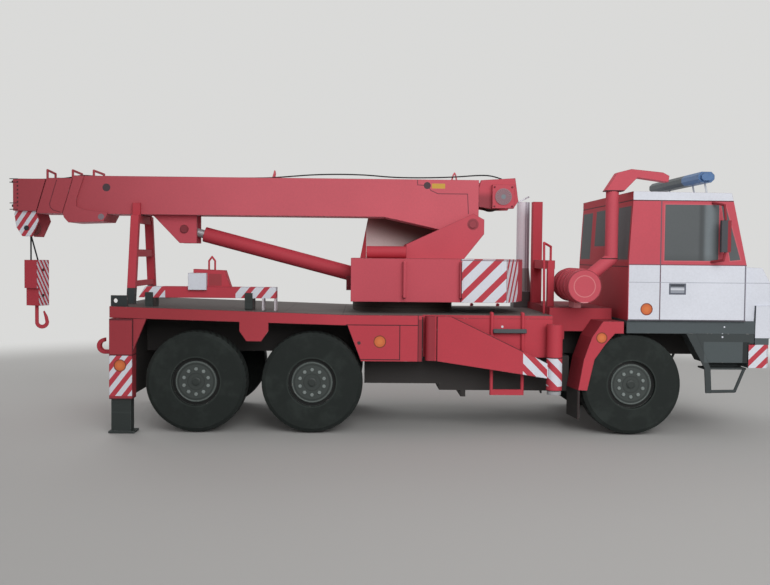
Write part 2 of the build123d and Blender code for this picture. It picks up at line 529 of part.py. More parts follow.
piece("bumper", bumper + lamp + mirror(lamp, about=Plane.XZ))
MIRROR_Y = -HALF - 4.6
MIRROR_X = CAB_FRONT - 9.4
MIRROR_FOOT, MIRROR_TOP = WAIST + 4.6, WAIST + 15.8
MIRROR_L, MIRROR_T = 3.4, 1.6
ARM_ROOT = MIRROR_X - MIRROR_L
glass = block(MIRROR_X - MIRROR_L / 2, MIRROR_X + MIRROR_L / 2, MIRROR_Y - MIRROR_T / 2,
              MIRROR_Y + MIRROR_T / 2, MIRROR_FOOT, MIRROR_TOP)
arms = wire([(ARM_ROOT, -CAB_H, EAVES - 0.6), (MIRROR_X - 0.6, MIRROR_Y, EAVES - 1.6),
             (MIRROR_X, MIRROR_Y, MIRROR_TOP)], RAIL_R)
arms += wire([(ARM_ROOT, -CAB_H, WAIST + 1.2), (MIRROR_X - 0.6, MIRROR_Y, WAIST + 1.8),
              (MIRROR_X, MIRROR_Y, MIRROR_FOOT)], RAIL_R)
piece("mirrors", both(glass + (arms - cab)))
BAR_X = CAB_FRONT - 12.0
BAR_Y = 30.0
BAR_Z = CAB_ROOF_Z + 4.1
BAR_W, BAR_H = 6.0, 3.9


def bar_profile(share):
    """Rounded section of the light bar in X and Z, drawn in towards its middle by a share."""
    corners = [(-0.5, -0.2), (-0.3, -0.5), (0.3, -0.5), (0.5, -0.2), (0.5, 0.2), (0.3, 0.5),
               (-0.3, 0.5), (-0.5, 0.2)]
    return [(BAR_X + BAR_W * share * x, BAR_Z + BAR_H * (0.5 + share * z)) for x, z in corners]


light_bar = slab(bar_profile(1.0), -BAR_Y, BAR_Y) + slab(bar_profile(0.7), -BAR_Y - CARD, BAR_Y + CARD)
for y in (-27.0, -14.0, 14.0, 27.0):
    light_bar += wire([(BAR_X + 1.6, y, CAB_ROOF_Z - 0.5), (BAR_X, y, BAR_Z + BAR_H / 2)], FIT)
piece("light_bar", light_bar - roof)

# Front mudguards: crescent face, bent band round the tyre that flares inwards, rubber flap.
def guard_line(points, shift=0.0):
    """Points about the front axle's centre, set in the machine's X and Z and shifted along."""
    return [(FRONT_X + dx + shift, WHEEL_R + dz) for dx, dz in points]


GUARD_Y = HALF + 0.3
GUARD_T = 0.6
GUARD_FOOT = -1.9
GUARD_FLARE = 1.5
FLAP_DROP = 10.5
outer_line = [(-3.5, 22.8), (-10.9, 22.8), (-14.8, 17.1), (-17.6, 9.1), (-19.5, GUARD_FOOT)]
band_line = [(-18.8, GUARD_FOOT), (-16.9, 8.8), (-14.2, 16.6), (-10.6, 22.1), (-3.5, 22.1)]
inner_line = [(-16.3, -2.2), (-13.8, 9.1), (-10.0, 14.6), (-6.6, 18.5), (-3.5, 18.5)]
guard_face = slab(guard_line(outer_line + inner_line), -GUARD_Y, -GUARD_Y + GUARD_T)
band_ends = []
for y, shift in ((-GUARD_Y + GUARD_T, 0.0), (-WELL_Y, -GUARD_FLARE)):
    band_points = [(x, y, z) for x, z in guard_line(outer_line + band_line, shift)]
    band_ends.append(make_face(Polyline(band_points, close=True)))
guard_band = loft(band_ends, ruled=True)
STAY_X, STAY_L = FRONT_X - 11.0, 5.0
STAY_FOOT, STAY_TOP = WHEEL_R + 15.0, WHEEL_R + 21.0
stay = block(STAY_X, STAY_X + STAY_L, -WELL_Y, -RAIL_OUT, STAY_FOOT, STAY_TOP)
stay += block(STAY_X, STAY_X + STAY_L, -WELL_Y - CARD, -WELL_Y, STAY_FOOT, WHEEL_R + 22.4)
flap_ends = []
for y, shift in ((-GUARD_Y + GUARD_T, 0.0), (-WELL_Y, -GUARD_FLARE)):
    flap_line = [(-19.5, GUARD_FOOT), (-18.8, GUARD_FOOT), (-18.8, GUARD_FOOT - FLAP_DROP),
                 (-19.5, GUARD_FOOT - FLAP_DROP)]
    flap_points = [(x, y, z) for x, z in guard_line(flap_line, shift)]
    flap_ends.append(make_face(Polyline(flap_points, close=True)))
flap = loft(flap_ends, ruled=True)
piece("mudguards", both(guard_face + guard_band + stay + flap))

# Ladder hooked over the deck's edge on the recessed panel behind each arm.
LADDER_R = 0.6
LADDER_W = 11.2
LADDER_Y = -PANEL_Y - LADDER_R
LADDER_X = (HINGE_X + JACK_X) / 2 + 0.2
LADDER_FOOT = ARM_FOOT - 12.6
TREAD_H = 2.0
ladder = block(LADDER_X, LADDER_X + LADDER_W, LADDER_Y - LADDER_R, LADDER_Y + LADDER_R, LADDER_FOOT,
               LADDER_FOOT + TREAD_H)
for x in (LADDER_X, LADDER_X + LADDER_W):
    ladder += wire([(x, -PANEL_Y + 2.0, DECK_Z + LADDER_R), (x, LADDER_Y, DECK_Z + LADDER_R),
                    (x, LADDER_Y, LADDER_FOOT)], LADDER_R)
piece("ladders", both(ladder))

# Outrigger arms with their jack tubes, and the legs that slide in them.
ARM_OUT = HALF
ARM_T = 2.6
ARM_END = JACK_X - JACK_D / 2 + 0.3
arm_points = [(HINGE_X + 2.5, ARM_TOP), (HINGE_X + 7.8, ARM_TOP), (JACK_X - 8.5, ARM_FOOT + 2.2),
              (ARM_END, ARM_FOOT - 0.8), (ARM_END, ARM_FOOT - 6.0), (JACK_X - 10.3, ARM_FOOT - 4.8),
              (HINGE_X + 2.5, ARM_FOOT)]
ROLL_R = 1.6
JACK_Y = HALF - JACK_D / 2 + 0.5
JACK_TOP = ARM_TOP - 2.6
JACK_FOOT = ARM_FOOT - 10.3
BORE_R = JACK_D / 2 - WALL
arm = slab(arm_points, -ARM_OUT, -ARM_OUT + ARM_T)
arm += bar_z(HINGE_X, -HINGE_Y, ROLL_R, ARM_FOOT, ARM_TOP)
arm += block(HINGE_X, HINGE_X + 2.6, -HINGE_Y - 1.6, -HINGE_Y + 0.2, ARM_FOOT, ARM_TOP)
arm += bar_z(JACK_X, -JACK_Y, JACK_D / 2, JACK_FOOT, JACK_TOP)
arm -= bar_z(JACK_X, -JACK_Y, BORE_R, JACK_FOOT - 1.0, JACK_TOP - WALL)
piece("outrigger_right", arm)
piece("outrigger_left", mirror(arm, about=Plane.XZ))
FOOT_GAP, FOOT_T = 0.3, 1.3
leg = bar_z(JACK_X, -JACK_Y, BORE_R - FIT, JACK_FOOT - FOOT_GAP, JACK_TOP - 2.0)
leg += bar_z(JACK_X, -JACK_Y, JACK_D / 2 - FOOT_GAP, JACK_FOOT - FOOT_GAP - FOOT_T, JACK_FOOT - FOOT_GAP)
piece("outrigger_jack_right", leg)
piece("outrigger_jack_left", mirror(leg, about=Plane.XZ))

# Turret: box with bevelled tail and a slot for the lift cylinder, ears, operator's cabin, tank.
tail = TURRET_TAIL
turret_side = [(-TURRET_NOSE, 0), (tail - 8.4, 0), (tail - 3.0, 8.0), (tail, 17.0)]
turret_plan = [(x, -TURRET_W / 2 + y) for x, y in turret_side]
turret_plan += [(x, TURRET_W / 2 - y) for x, y in turret_side[::-1]]
SLOT_HALF = BARREL_D / 2 + 0.7
SLOT_END = LIFT_BASE[0] + BARREL_D / 2 + 1.2
turret = plan([(SLEW_X + x, y) for x, y in turret_plan], TURRET_Z, TURRET_TOP)
NOSE_FACE = SLEW_X - TURRET_NOSE
turret -= block(NOSE_FACE - CARD, SLOT_END, -SLOT_HALF, SLOT_HALF, TURRET_Z + 2.0, TURRET_TOP + CARD)
turret += bar_y(LIFT_BASE[0], LIFT_BASE[1], ROD_D / 2, -SLOT_HALF, SLOT_HALF)
LUG_OUT = 2.0
LUG_HALF = 7.0
LUG_FOOT, LUG_HEAD = TURRET_Z + 3.4, TURRET_Z + 8.8
for y0, y1 in ((-LUG_HALF, -SLOT_HALF), (SLOT_HALF, LUG_HALF)):
    turret += block(NOSE_FACE - LUG_OUT, NOSE_FACE, y0, y1, LUG_FOOT, LUG_HEAD)
EAR_IN = BOOM_W / 2 + 1.2
EAR_T = 1.6
PIN_END = EAR_IN + EAR_T + 0.5
ear_points = [(-25.4, 0), (-25.4, 5.4), (0.2, 17.4), (4.4, 15.1), (4.4, 9.6), (-3.2, 0)]
ear = slab([(PIVOT_X + x, TURRET_TOP + z) for x, z in ear_points], -EAR_IN - EAR_T, -EAR_IN)
ears = ear + mirror(ear, about=Plane.XZ) + bar_y(PIVOT_X, PIVOT_Z, PIN_D / 2, -PIN_END, PIN_END)
piece("turret_ears", ears)
CABIN_X = NOSE_FACE + 3.2
CABIN_Y = EAR_IN + EAR_T + 0.9
cabin_out = [(0, 0), (3.2, 17.0), (4.4, 27.6), (6.0, 28.6), (29.0, 28.6), (30.6, 27.0), (32.0, 0)]
cabin = slab([(CABIN_X + x, TURRET_TOP + z) for x, z in cabin_out], CABIN_Y, TURRET_W / 2)
piece("operator_cabin", cabin)
TANK_R = 2.3
TANK_L = 15.1
TANK_END = PIVOT_X - 25.5
tank = bar_x(-EAR_IN - EAR_T - 1.6, TURRET_TOP + TANK_R, TANK_R, TANK_END - TANK_L, TANK_END)
piece("turret_tank", tank)
GRAB_R = 0.6
GRAB_OUT = TURRET_W / 2 + 1.6
GRAB_IN = TURRET_W / 2 - 0.5
GRAB_TOP, GRAB_FOOT = TURRET_TOP - 1.4, TURRET_TOP - 14.0
for x in (SLEW_X - 0.4, SLEW_X + 20.4):
    turret += wire([(x, -GRAB_IN, GRAB_TOP), (x, -GRAB_OUT, GRAB_TOP),
                    (x, -GRAB_OUT, GRAB_FOOT), (x, -GRAB_IN, GRAB_FOOT)], GRAB_R)
piece("turret", turret)

# Boom: hollow base with a deeper root, a collar, the cylinder's bracket, and the winch behind.
BOOM_MID = BOOM_Z + BOOM_H / 2


def bore(x0, x1, w, h):
    """Square bar along the boom, centred on its height."""
    return block(x0, x1, -w / 2, w / 2, BOOM_MID - h / 2, BOOM_MID + h / 2)


def tube_box(x0, x1, w, h):
    """Square card tube along the boom, open at both ends."""
    return bore(x0, x1, w, h) - bore(x0 - CARD, x1 + CARD, w - 2 * WALL, h - 2 * WALL)


MID_W, MID_H = BOOM_W - 2 * WALL - 2 * FIT, BOOM_H - 2 * WALL - 2 * FIT
TOP_W, TOP_H = MID_W - 2 * WALL - 2 * FIT, MID_H - 2 * WALL - 2 * FIT
ROOT_FOOT = PIVOT_Z - 2.1
root = slab([(PIVOT_X - 33.6, BOOM_Z), (PIVOT_X - 12.1, ROOT_FOOT), (BOOM_REAR, ROOT_FOOT),
             (BOOM_REAR, BOOM_Z)], -BOOM_W / 2, BOOM_W / 2)
END_WALL = 3.0
boom = slab([(BOOM_FRONT, BOOM_Z), (BOOM_REAR, BOOM_Z), (BOOM_REAR, BOOM_TOP),
             (slanted(BOOM_FRONT, BOOM_TOP), BOOM_TOP)], -BOOM_W / 2, BOOM_W / 2)
boom -= bore(BOOM_FRONT - CARD, BOOM_REAR - END_WALL, BOOM_W - 2 * WALL, BOOM_H - 2 * WALL)
root -= bar_y(PIVOT_X, PIVOT_Z, PIN_D / 2 + RUN, -BOOM_W, BOOM_W)
piece("boom_root", root)
COLLAR_T = 0.6
COLLAR_L = 17.0
sole = [(0, 0), (0.6, -1.6), (2.2, -3.4), (COLLAR_L - 1.5, -2.9), (COLLAR_L, 0)]
cheek_line = [(0, 0), (COLLAR_L, 0), (COLLAR_L, 0.6), (8.0, 1.6), (5.3, 2.8), (5.3, 5.6), (8.2, BOOM_H),
              (BOOM_SLANT, BOOM_H)]
COLLAR_Y = BOOM_W / 2 + COLLAR_T
collar = slab([(BOOM_FRONT + x, BOOM_Z + z) for x, z in sole], -COLLAR_Y, COLLAR_Y)
cheek_plate = slab([(BOOM_FRONT + x, BOOM_Z + z) for x, z in cheek_line], -COLLAR_Y, -BOOM_W / 2)
piece("boom_collar", collar + cheek_plate + mirror(cheek_plate, about=Plane.XZ))
BRACKET_IN = BARREL_D / 2 + 0.7
CHEEK_T = 1.5
CHEEK_FOOT = LIFT_EYE[1] - 5.4
CHEEK_X = LIFT_EYE[0] + 4.9
cheek = slab([(CHEEK_X - 17.0, BOOM_Z), (CHEEK_X - 6.6, CHEEK_FOOT), (CHEEK_X, CHEEK_FOOT),
              (CHEEK_X, BOOM_Z)], -BRACKET_IN - CHEEK_T, -BRACKET_IN)
cheek += bar_y(LIFT_EYE[0], LIFT_EYE[1], 1.4, -BRACKET_IN - CHEEK_T - 0.6, -BRACKET_IN - CHEEK_T)
piece("lift_bracket", both(cheek))
WINCH_IN = 6.6
WINCH_OUT = 8.6
winch_line = [(0.8, 0), (14.0, 0.9), (15.3, -8.0), (13.4, -10.8), (5.0, -11.0), (0, -10.2), (0, -3.0)]
winch_points = [(BOOM_REAR + x, BOOM_TOP + z) for x, z in winch_line]
side = slab(winch_points, -WINCH_OUT, -WINCH_IN)
DRUM_PIN_R = 1.0
side -= bar_y(DRUM_X, DRUM_Z, DRUM_PIN_R + RUN, -WINCH_OUT - CARD, -WINCH_IN + CARD)
winch = side + mirror(side, about=Plane.XZ)
winch += block(DRUM_X + DRUM_R + 1.2, BOOM_REAR + 14.0, -WINCH_IN, WINCH_IN, BOOM_TOP - 7.4, BOOM_TOP + 0.4)
GEAR_X0, GEAR_X1 = BOOM_REAR + 5.0, BOOM_REAR + 13.4
GEAR_Z0, GEAR_Z1 = BOOM_TOP - 10.8, BOOM_TOP - 1.8
GEAR_Y = WINCH_OUT + 2.0
gearbox = block(GEAR_X0, GEAR_X1, -GEAR_Y, -WINCH_OUT, GEAR_Z0, GEAR_Z1)
gearbox += bar_y((GEAR_X0 + GEAR_X1) / 2, (GEAR_Z0 + GEAR_Z1) / 2, 3.2, -GEAR_Y - 0.4, -GEAR_Y)
piece("winch_housing", winch + gearbox)
DRUM_END = WINCH_IN - FIT
FLANGE_T, FLANGE_H = 0.8, 0.9
drum = bar_y(DRUM_X, DRUM_Z, DRUM_R - FLANGE_H, -DRUM_END, DRUM_END)
for y in (-DRUM_END, DRUM_END - FLANGE_T):
    drum += bar_y(DRUM_X, DRUM_Z, DRUM_R, y, y + FLANGE_T)
drum += bar_y(DRUM_X, DRUM_Z, DRUM_PIN_R, -WINCH_OUT + FIT, WINCH_OUT - FIT)
piece("winch_drum", drum)
LOOP_R = 0.45
LOOP_TOP = BOOM_TOP + 2.3
LOOP_NEAR, LOOP_FAR = -4.0, 5.0
LOOP_DROP = 0.7
EYE_R = 0.3
EYE_UP = 3.3


def rope_loop(x, foot, lean):
    """Wire loop across a boom section, its far leg lower and leaning back, both legs sunk into the card."""
    sunk = foot - WALL / 2
    far = x + lean
    return wire([(x, LOOP_NEAR, sunk), (x, LOOP_NEAR, LOOP_TOP), (far, LOOP_FAR, LOOP_TOP - LOOP_DROP),
                 (far, LOOP_FAR, sunk)], LOOP_R)


boom += rope_loop(BOOM_FRONT + 10.5, BOOM_TOP, 1.5)
EYE_FOOT = BOOM_TOP - WALL / 2
for x, spread, lean in ((on_boom(77.4), 0.3, 0.6), (on_boom(6.4), 1.2, 0.2)):
    boom += wire([(x - spread, -1.0, EYE_FOOT), (x - spread / 2 + lean, -0.8, BOOM_TOP + EYE_UP - 1.0),
                  (x + lean, 0, BOOM_TOP + EYE_UP), (x + spread / 2 + lean, 0.8, BOOM_TOP + EYE_UP - 1.0),
                  (x + spread, 1.0, EYE_FOOT)], EYE_R)
piece("boom_base", boom)

# Telescopic sections and the head.
MID_TAIL = on_boom(14.0)
MID_TOP = BOOM_TOP - 1.0
JOINT_1 = BOOM_FRONT - FIT
mid = tube_box(JOINT_1, MID_TAIL, MID_W, MID_H)
collar_2 = slab([(MID_FRONT, BOOM_Z), (JOINT_1, BOOM_Z), (slanted(JOINT_1, MID_TOP), MID_TOP),
                 (slanted(MID_FRONT, MID_TOP), MID_TOP)], -BOOM_W / 2, BOOM_W / 2)
collar_2 -= bore(MID_FRONT - CARD, BOOM_FRONT + BOOM_SLANT, MID_W - 2 * WALL, MID_H - 2 * WALL)
piece("boom_middle", mid + collar_2 + rope_loop(JOINT_1 + 2.8, MID_TOP, 0.9))
TOP_TAIL = on_boom(24.0)
HEAD_TOP = BOOM_TOP - 1.4
HEAD_FOOT = BOOM_Z + 0.9
HEAD_IN = BOOM_W / 2 - 2.6
HEAD_T = 1.3
HEAD_PIN_R = 0.8
JOINT_2 = MID_FRONT - FIT
top = tube_box(JOINT_2, TOP_TAIL, TOP_W, TOP_H)
head_box = slab([(TIP_X, HEAD_FOOT), (slanted(JOINT_2, HEAD_FOOT), HEAD_FOOT),
                 (slanted(JOINT_2, HEAD_TOP), HEAD_TOP), (TIP_X, HEAD_TOP)], -BOOM_W / 2, BOOM_W / 2)
for y in (-5.5, 5.5):
    for z in (HEAD_FOOT + 2.0, HEAD_TOP - 1.0):
        head_box += bar_x(y, z, 0.5, MIN_X, TIP_X)
piece("boom_top", top + head_box + rope_loop(JOINT_2 + 3.2, HEAD_TOP, 0.2))
head_line = [(0.5, 0), (8.2, 0), (9.3, -3.6), (6.5, -9.8), (3.0, -9.7), (0.8, -6.3), (0, -1.2)]
head = slab([(TIP_X + x, HEAD_FOOT + z) for x, z in head_line], -HEAD_IN - HEAD_T, -HEAD_IN)
HEAD_PIN_Y = HEAD_IN + HEAD_T + 0.4
heads = head + mirror(head, about=Plane.XZ) + bar_y(PIN_X, PIN_Z, HEAD_PIN_R, -HEAD_PIN_Y, HEAD_PIN_Y)
piece("head_plates", heads)
SHEAVE_R = 2.6
THREAD_R = 0.3
HOIST = 14.0
BLOCK_TOP = PIN_Z - 12.3
SHEAVE_W = 4.0
HANG_X = PIN_X + 1.4
FALL_FOOT = BLOCK_TOP - HOIST - 1.0
NEAR_FALL_X = HANG_X + 1.0
NEAR_FALL_Y = -1.6
sheave = bar_y(PIN_X, PIN_Z, SHEAVE_R, -SHEAVE_W / 2, SHEAVE_W / 2)
sheave += bar_z(PIN_X - 0.8, 0, THREAD_R, FALL_FOOT, PIN_Z - 1.5)
sheave += wire([(PIN_X - 0.4, NEAR_FALL_Y, PIN_Z - 2.0), (NEAR_FALL_X, NEAR_FALL_Y, BLOCK_TOP),
                (NEAR_FALL_X, NEAR_FALL_Y, FALL_FOOT)], THREAD_R)
sheave -= bar_y(PIN_X, PIN_Z, HEAD_PIN_R + RUN, -SHEAVE_W, SHEAVE_W)
piece("head_sheave", sheave)

# Hook block, hollow for the two falls of thread and turned about them, and the hook below it.
BLOCK_W = 6.4
BLOCK_H = 17.8
BLOCK_FOOT = BLOCK_TOP - BLOCK_H
CHEEK_W = 1.0
WAIST_Z = BLOCK_FOOT + 6.8
HOOK_TURN = 18.8
hang = Pos(HANG_X, 0, 0)
half = BLOCK_W / 2
hook_block = block(-half, half, -half, half, WAIST_Z, BLOCK_TOP)
hook_block += block(-half + CHEEK_W, half - CHEEK_W, -half, half, BLOCK_FOOT, WAIST_Z)
hook_block += block(half - CHEEK_W, half, -half, half, BLOCK_FOOT, WAIST_Z)
hook_block -= block(-half + WALL, half - WALL, -half + WALL, half - WALL, WAIST_Z, BLOCK_TOP + CARD)
hook_block -= block(-half + CHEEK_W + WALL, half - CHEEK_W, -half + WALL, half - WALL,
                    FALL_FOOT - WALL, WAIST_Z)
piece("hook_block", hang * Rot(0, 0, 45 + HOOK_TURN) * hook_block)
HOOK_T = 1.8
HOOK_R = 2.6
HOOK_WIRE = 1.4
HOOK_X = 1.9
HOOK_Z = BLOCK_FOOT - 6.5
SHANK_X = HOOK_X - HOOK_R
crook = bar_y(HOOK_X, HOOK_Z, HOOK_R, -HOOK_T / 2, HOOK_T / 2)
crook -= bar_y(HOOK_X, HOOK_Z, HOOK_R - HOOK_WIRE, -HOOK_T, HOOK_T)
crook -= block(SHANK_X, HOOK_X + HOOK_R, -HOOK_T, HOOK_T, HOOK_Z, HOOK_Z + HOOK_R)
crook += block(SHANK_X, SHANK_X + HOOK_WIRE, -HOOK_T / 2, HOOK_T / 2, HOOK_Z, BLOCK_FOOT)
tip_line = [(HOOK_R - HOOK_WIRE, 0), (HOOK_R, 0), (HOOK_R - 0.5, 2.2), (0.9, 4.4), (0.4, 4.0), (0.9, 1.8)]
crook += slab([(HOOK_X + x, HOOK_Z + z) for x, z in tip_line], -HOOK_T / 2, HOOK_T / 2)
piece("hook", hang * Rot(0, 0, HOOK_TURN) * crook)

# Lift cylinder, laid along the line from its fixed pin to the rod's eye.
along = Pos(LIFT_BASE[0], 0, LIFT_BASE[1]) * Rot(0, LIFT_ANGLE, 0)
barrel = bar_x(0, 0, BARREL_D / 2, -BARREL_L, BARREL_D / 2)
barrel -= bar_x(0, 0, ROD_D / 2 + FIT, -BARREL_L - 1.0, -4.5)
barrel -= bar_y(0, 0, ROD_D / 2 + RUN, -BARREL_D, BARREL_D)
piece("lift_barrel", along * barrel)
ROD_EYE_R = 2.2
ROD_EYE_Y = BRACKET_IN - 0.8
rod = bar_x(0, 0, ROD_D / 2, -LIFT_LENGTH, -7.0)
rod += bar_y(-LIFT_LENGTH, 0, ROD_EYE_R, -ROD_EYE_Y, ROD_EYE_Y)
piece("lift_rod", along * rod)

os.makedirs("parts", exist_ok=True)
for name, shape in PIECES.items():
    export_step(shape, f"parts/{name}.step")
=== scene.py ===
"""Looks of the card crane model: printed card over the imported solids, thread, nuts, stage and camera."""
import math

import bmesh
import bpy
from mathutils import Matrix, Vector


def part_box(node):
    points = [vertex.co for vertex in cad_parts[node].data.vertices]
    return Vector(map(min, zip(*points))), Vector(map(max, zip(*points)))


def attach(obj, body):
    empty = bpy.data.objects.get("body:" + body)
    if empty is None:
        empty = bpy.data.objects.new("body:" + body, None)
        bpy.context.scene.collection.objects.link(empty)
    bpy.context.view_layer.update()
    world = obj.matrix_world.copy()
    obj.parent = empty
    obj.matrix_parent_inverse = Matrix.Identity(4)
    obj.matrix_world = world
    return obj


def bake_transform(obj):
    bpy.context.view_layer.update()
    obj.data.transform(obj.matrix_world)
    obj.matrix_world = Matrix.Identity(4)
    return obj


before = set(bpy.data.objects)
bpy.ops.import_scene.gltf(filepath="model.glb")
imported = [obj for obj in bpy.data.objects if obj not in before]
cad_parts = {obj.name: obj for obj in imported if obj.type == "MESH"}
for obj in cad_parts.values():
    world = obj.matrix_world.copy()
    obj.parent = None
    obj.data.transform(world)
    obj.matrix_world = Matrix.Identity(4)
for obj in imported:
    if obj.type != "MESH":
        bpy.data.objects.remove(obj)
scene = bpy.context.scene
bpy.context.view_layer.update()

# Places in this script are in mm: along from the rear axle, across to the left, up from the floor.
MM = 0.001
tyre_lo, tyre_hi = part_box("tyre_rear_right")
REAR_AXLE = (tyre_lo.x + tyre_hi.x) / 2
WHEEL_R = (tyre_hi.z - tyre_lo.z) / 2 / MM
STATIONS = {"rear": 0.0}
for name in ("middle", "front"):
    lo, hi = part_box(f"tyre_{name}_right")
    STATIONS[name] = ((lo.x + hi.x) / 2 - REAR_AXLE) / MM
SIDES = {"right": -1, "left": 1}


def at(x, y, z):
    """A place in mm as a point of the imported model."""
    return Vector((REAR_AXLE + x * MM, y * MM, z * MM))


def spot(node):
    """A node's lowest and highest corners in mm."""
    return [Vector(((p.x - REAR_AXLE) / MM, p.y / MM, p.z / MM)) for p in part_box(node)]


def ink(code):
    """A written colour as linear light."""
    parts = [int(code[i:i + 2], 16) / 255 for i in (1, 3, 5)]
    return tuple(c / 12.92 if c <= 0.04045 else ((c + 0.055) / 1.055) ** 2.4 for c in parts) + (1.0,)


# Inks of the printed sheets; the paler upper and boom reds are painted light, lit copies of the card red.
RED = ink("#B93B48")
# Paler red for the upper pieces: painted light, a lit copy of the card red.
LIT_UPPER_RED = ink("#C24E5B")
# Paler red for the boom: painted light, a lit copy of the card red.
LIT_BOOM_RED = ink("#CB5D69")
PALE_RED = ink("#C9606A")
# Dark red for undersides: painted shade.
SHADED_UNDER_RED = ink("#4A1A20")
OUTLINE = ink("#4A1C24")
WHITE = ink("#D6D9E2")
FOLD_GREY = ink("#9DA0AC")
BLACK = ink("#2C3231")
# Near black: the chassis's own colour, and painted shade on the cab base's underside and the rear beam's
# front face.
SOOT_AND_SHADE = ink("#322F2E")
GREY = ink("#50575A")
ORANGE = ink("#CB683B")
GLASS = ink("#585C5E")
SHINE = ink("#8E9AA0")
DECK = ink("#655F5D")
TYRE = ink("#181E1C")
WORN_TYRE = ink("#2A302E")
RIM = ink("#3A403E")
SILVER = ink("#C6C9CD")
LAVENDER = ink("#E0E2EA")
BLUE = ink("#4A6E9B")
YELLOW = ink("#CBA347")
THREAD_INK = ink("#23272A")
STOCK = ink("#A79F9C")

# The card: lean at which a face counts as looking along an axis, fibres, cut edges, width of a ruled line.
FACING = 0.5
FIBRE_GRAIN, BLOTCH_GRAIN, TOOTH_GRAIN, NICK_GRAIN = 1.5, 0.035, 6.0, 0.8
BLOTCH_SHARE, TOOTH_SHARE, NICK_SHARE = 0.22, 0.6, 0.5
NICK_SPAN = (0.6, 0.68)
EDGE_R = 0.4
EDGE_SPAN = (0.02, 0.25)
BUMP_STRENGTH, BUMP_DEPTH = 0.3, 0.05
ROUGH_SPREAD = 0.2
GLOSS = 0.35
RULE = 0.34


class Tone:
    """A socket in a material's tree; sums and comparisons on it add Math nodes."""

    def __init__(self, tree, socket=None):
        self.tree = tree
        self.socket = socket

    def node(self, kind, settings=None, sockets=None, out=0):
        """Any node: its settings first, then the values or links of its sockets."""
        made = self.tree.nodes.new(kind)
        for key, value in (settings or {}).items():
            setattr(made, key, value)
        for key, value in (sockets or {}).items():
            if isinstance(value, Tone):
                self.tree.links.new(value.socket, made.inputs[key])
            else:
                made.inputs[key].default_value = value
        return Tone(self.tree, made.outputs[out]) if made.outputs else None

    def math(self, operation, *others):
        return self.node("ShaderNodeMath", {"operation": operation}, dict(enumerate((self, *others))))

    def __add__(self, other):
        return self.math("ADD", other)

    def __sub__(self, other):
        return self.math("SUBTRACT", other)

    def __rsub__(self, other):
        return self.node("ShaderNodeMath", {"operation": "SUBTRACT"}, {0: other, 1: self})

    def __mul__(self, other):
        return self.math("MULTIPLY", other)

    def __mod__(self, other):
        return self.math("FLOORED_MODULO", other)

    def __gt__(self, other):
        return self.math("GREATER_THAN", other)

    def __lt__(self, other):
        return self.math("LESS_THAN", other)

    def __or__(self, other):
        return self.math("MAXIMUM", other)

    def __abs__(self):
        return self.math("ABSOLUTE")

    __radd__ = __add__
    __rmul__ = __mul__

    def near(self, middle, reach):
        """1 within reach of the middle, else 0."""
        return self.math("COMPARE", middle, reach)

    def rise(self, low, high):
        """0 at low, 1 at high, smooth between."""
        return self.node("ShaderNodeMapRange", {"interpolation_type": "SMOOTHSTEP"},
                         {0: self, 1: low, 2: high})

    def blend(self, share, below, above, how="MIX"):
        """One colour over another, by a share."""
        return self.node("ShaderNodeMix", {"data_type": "RGBA", "blend_type": how},
                         {0: share, 6: below, 7: above}, 2)


def cleared(block):
    """The emptied node tree of a material or world."""
    block.use_nodes = True
    block.node_tree.nodes.clear()
    return Tone(block.node_tree)


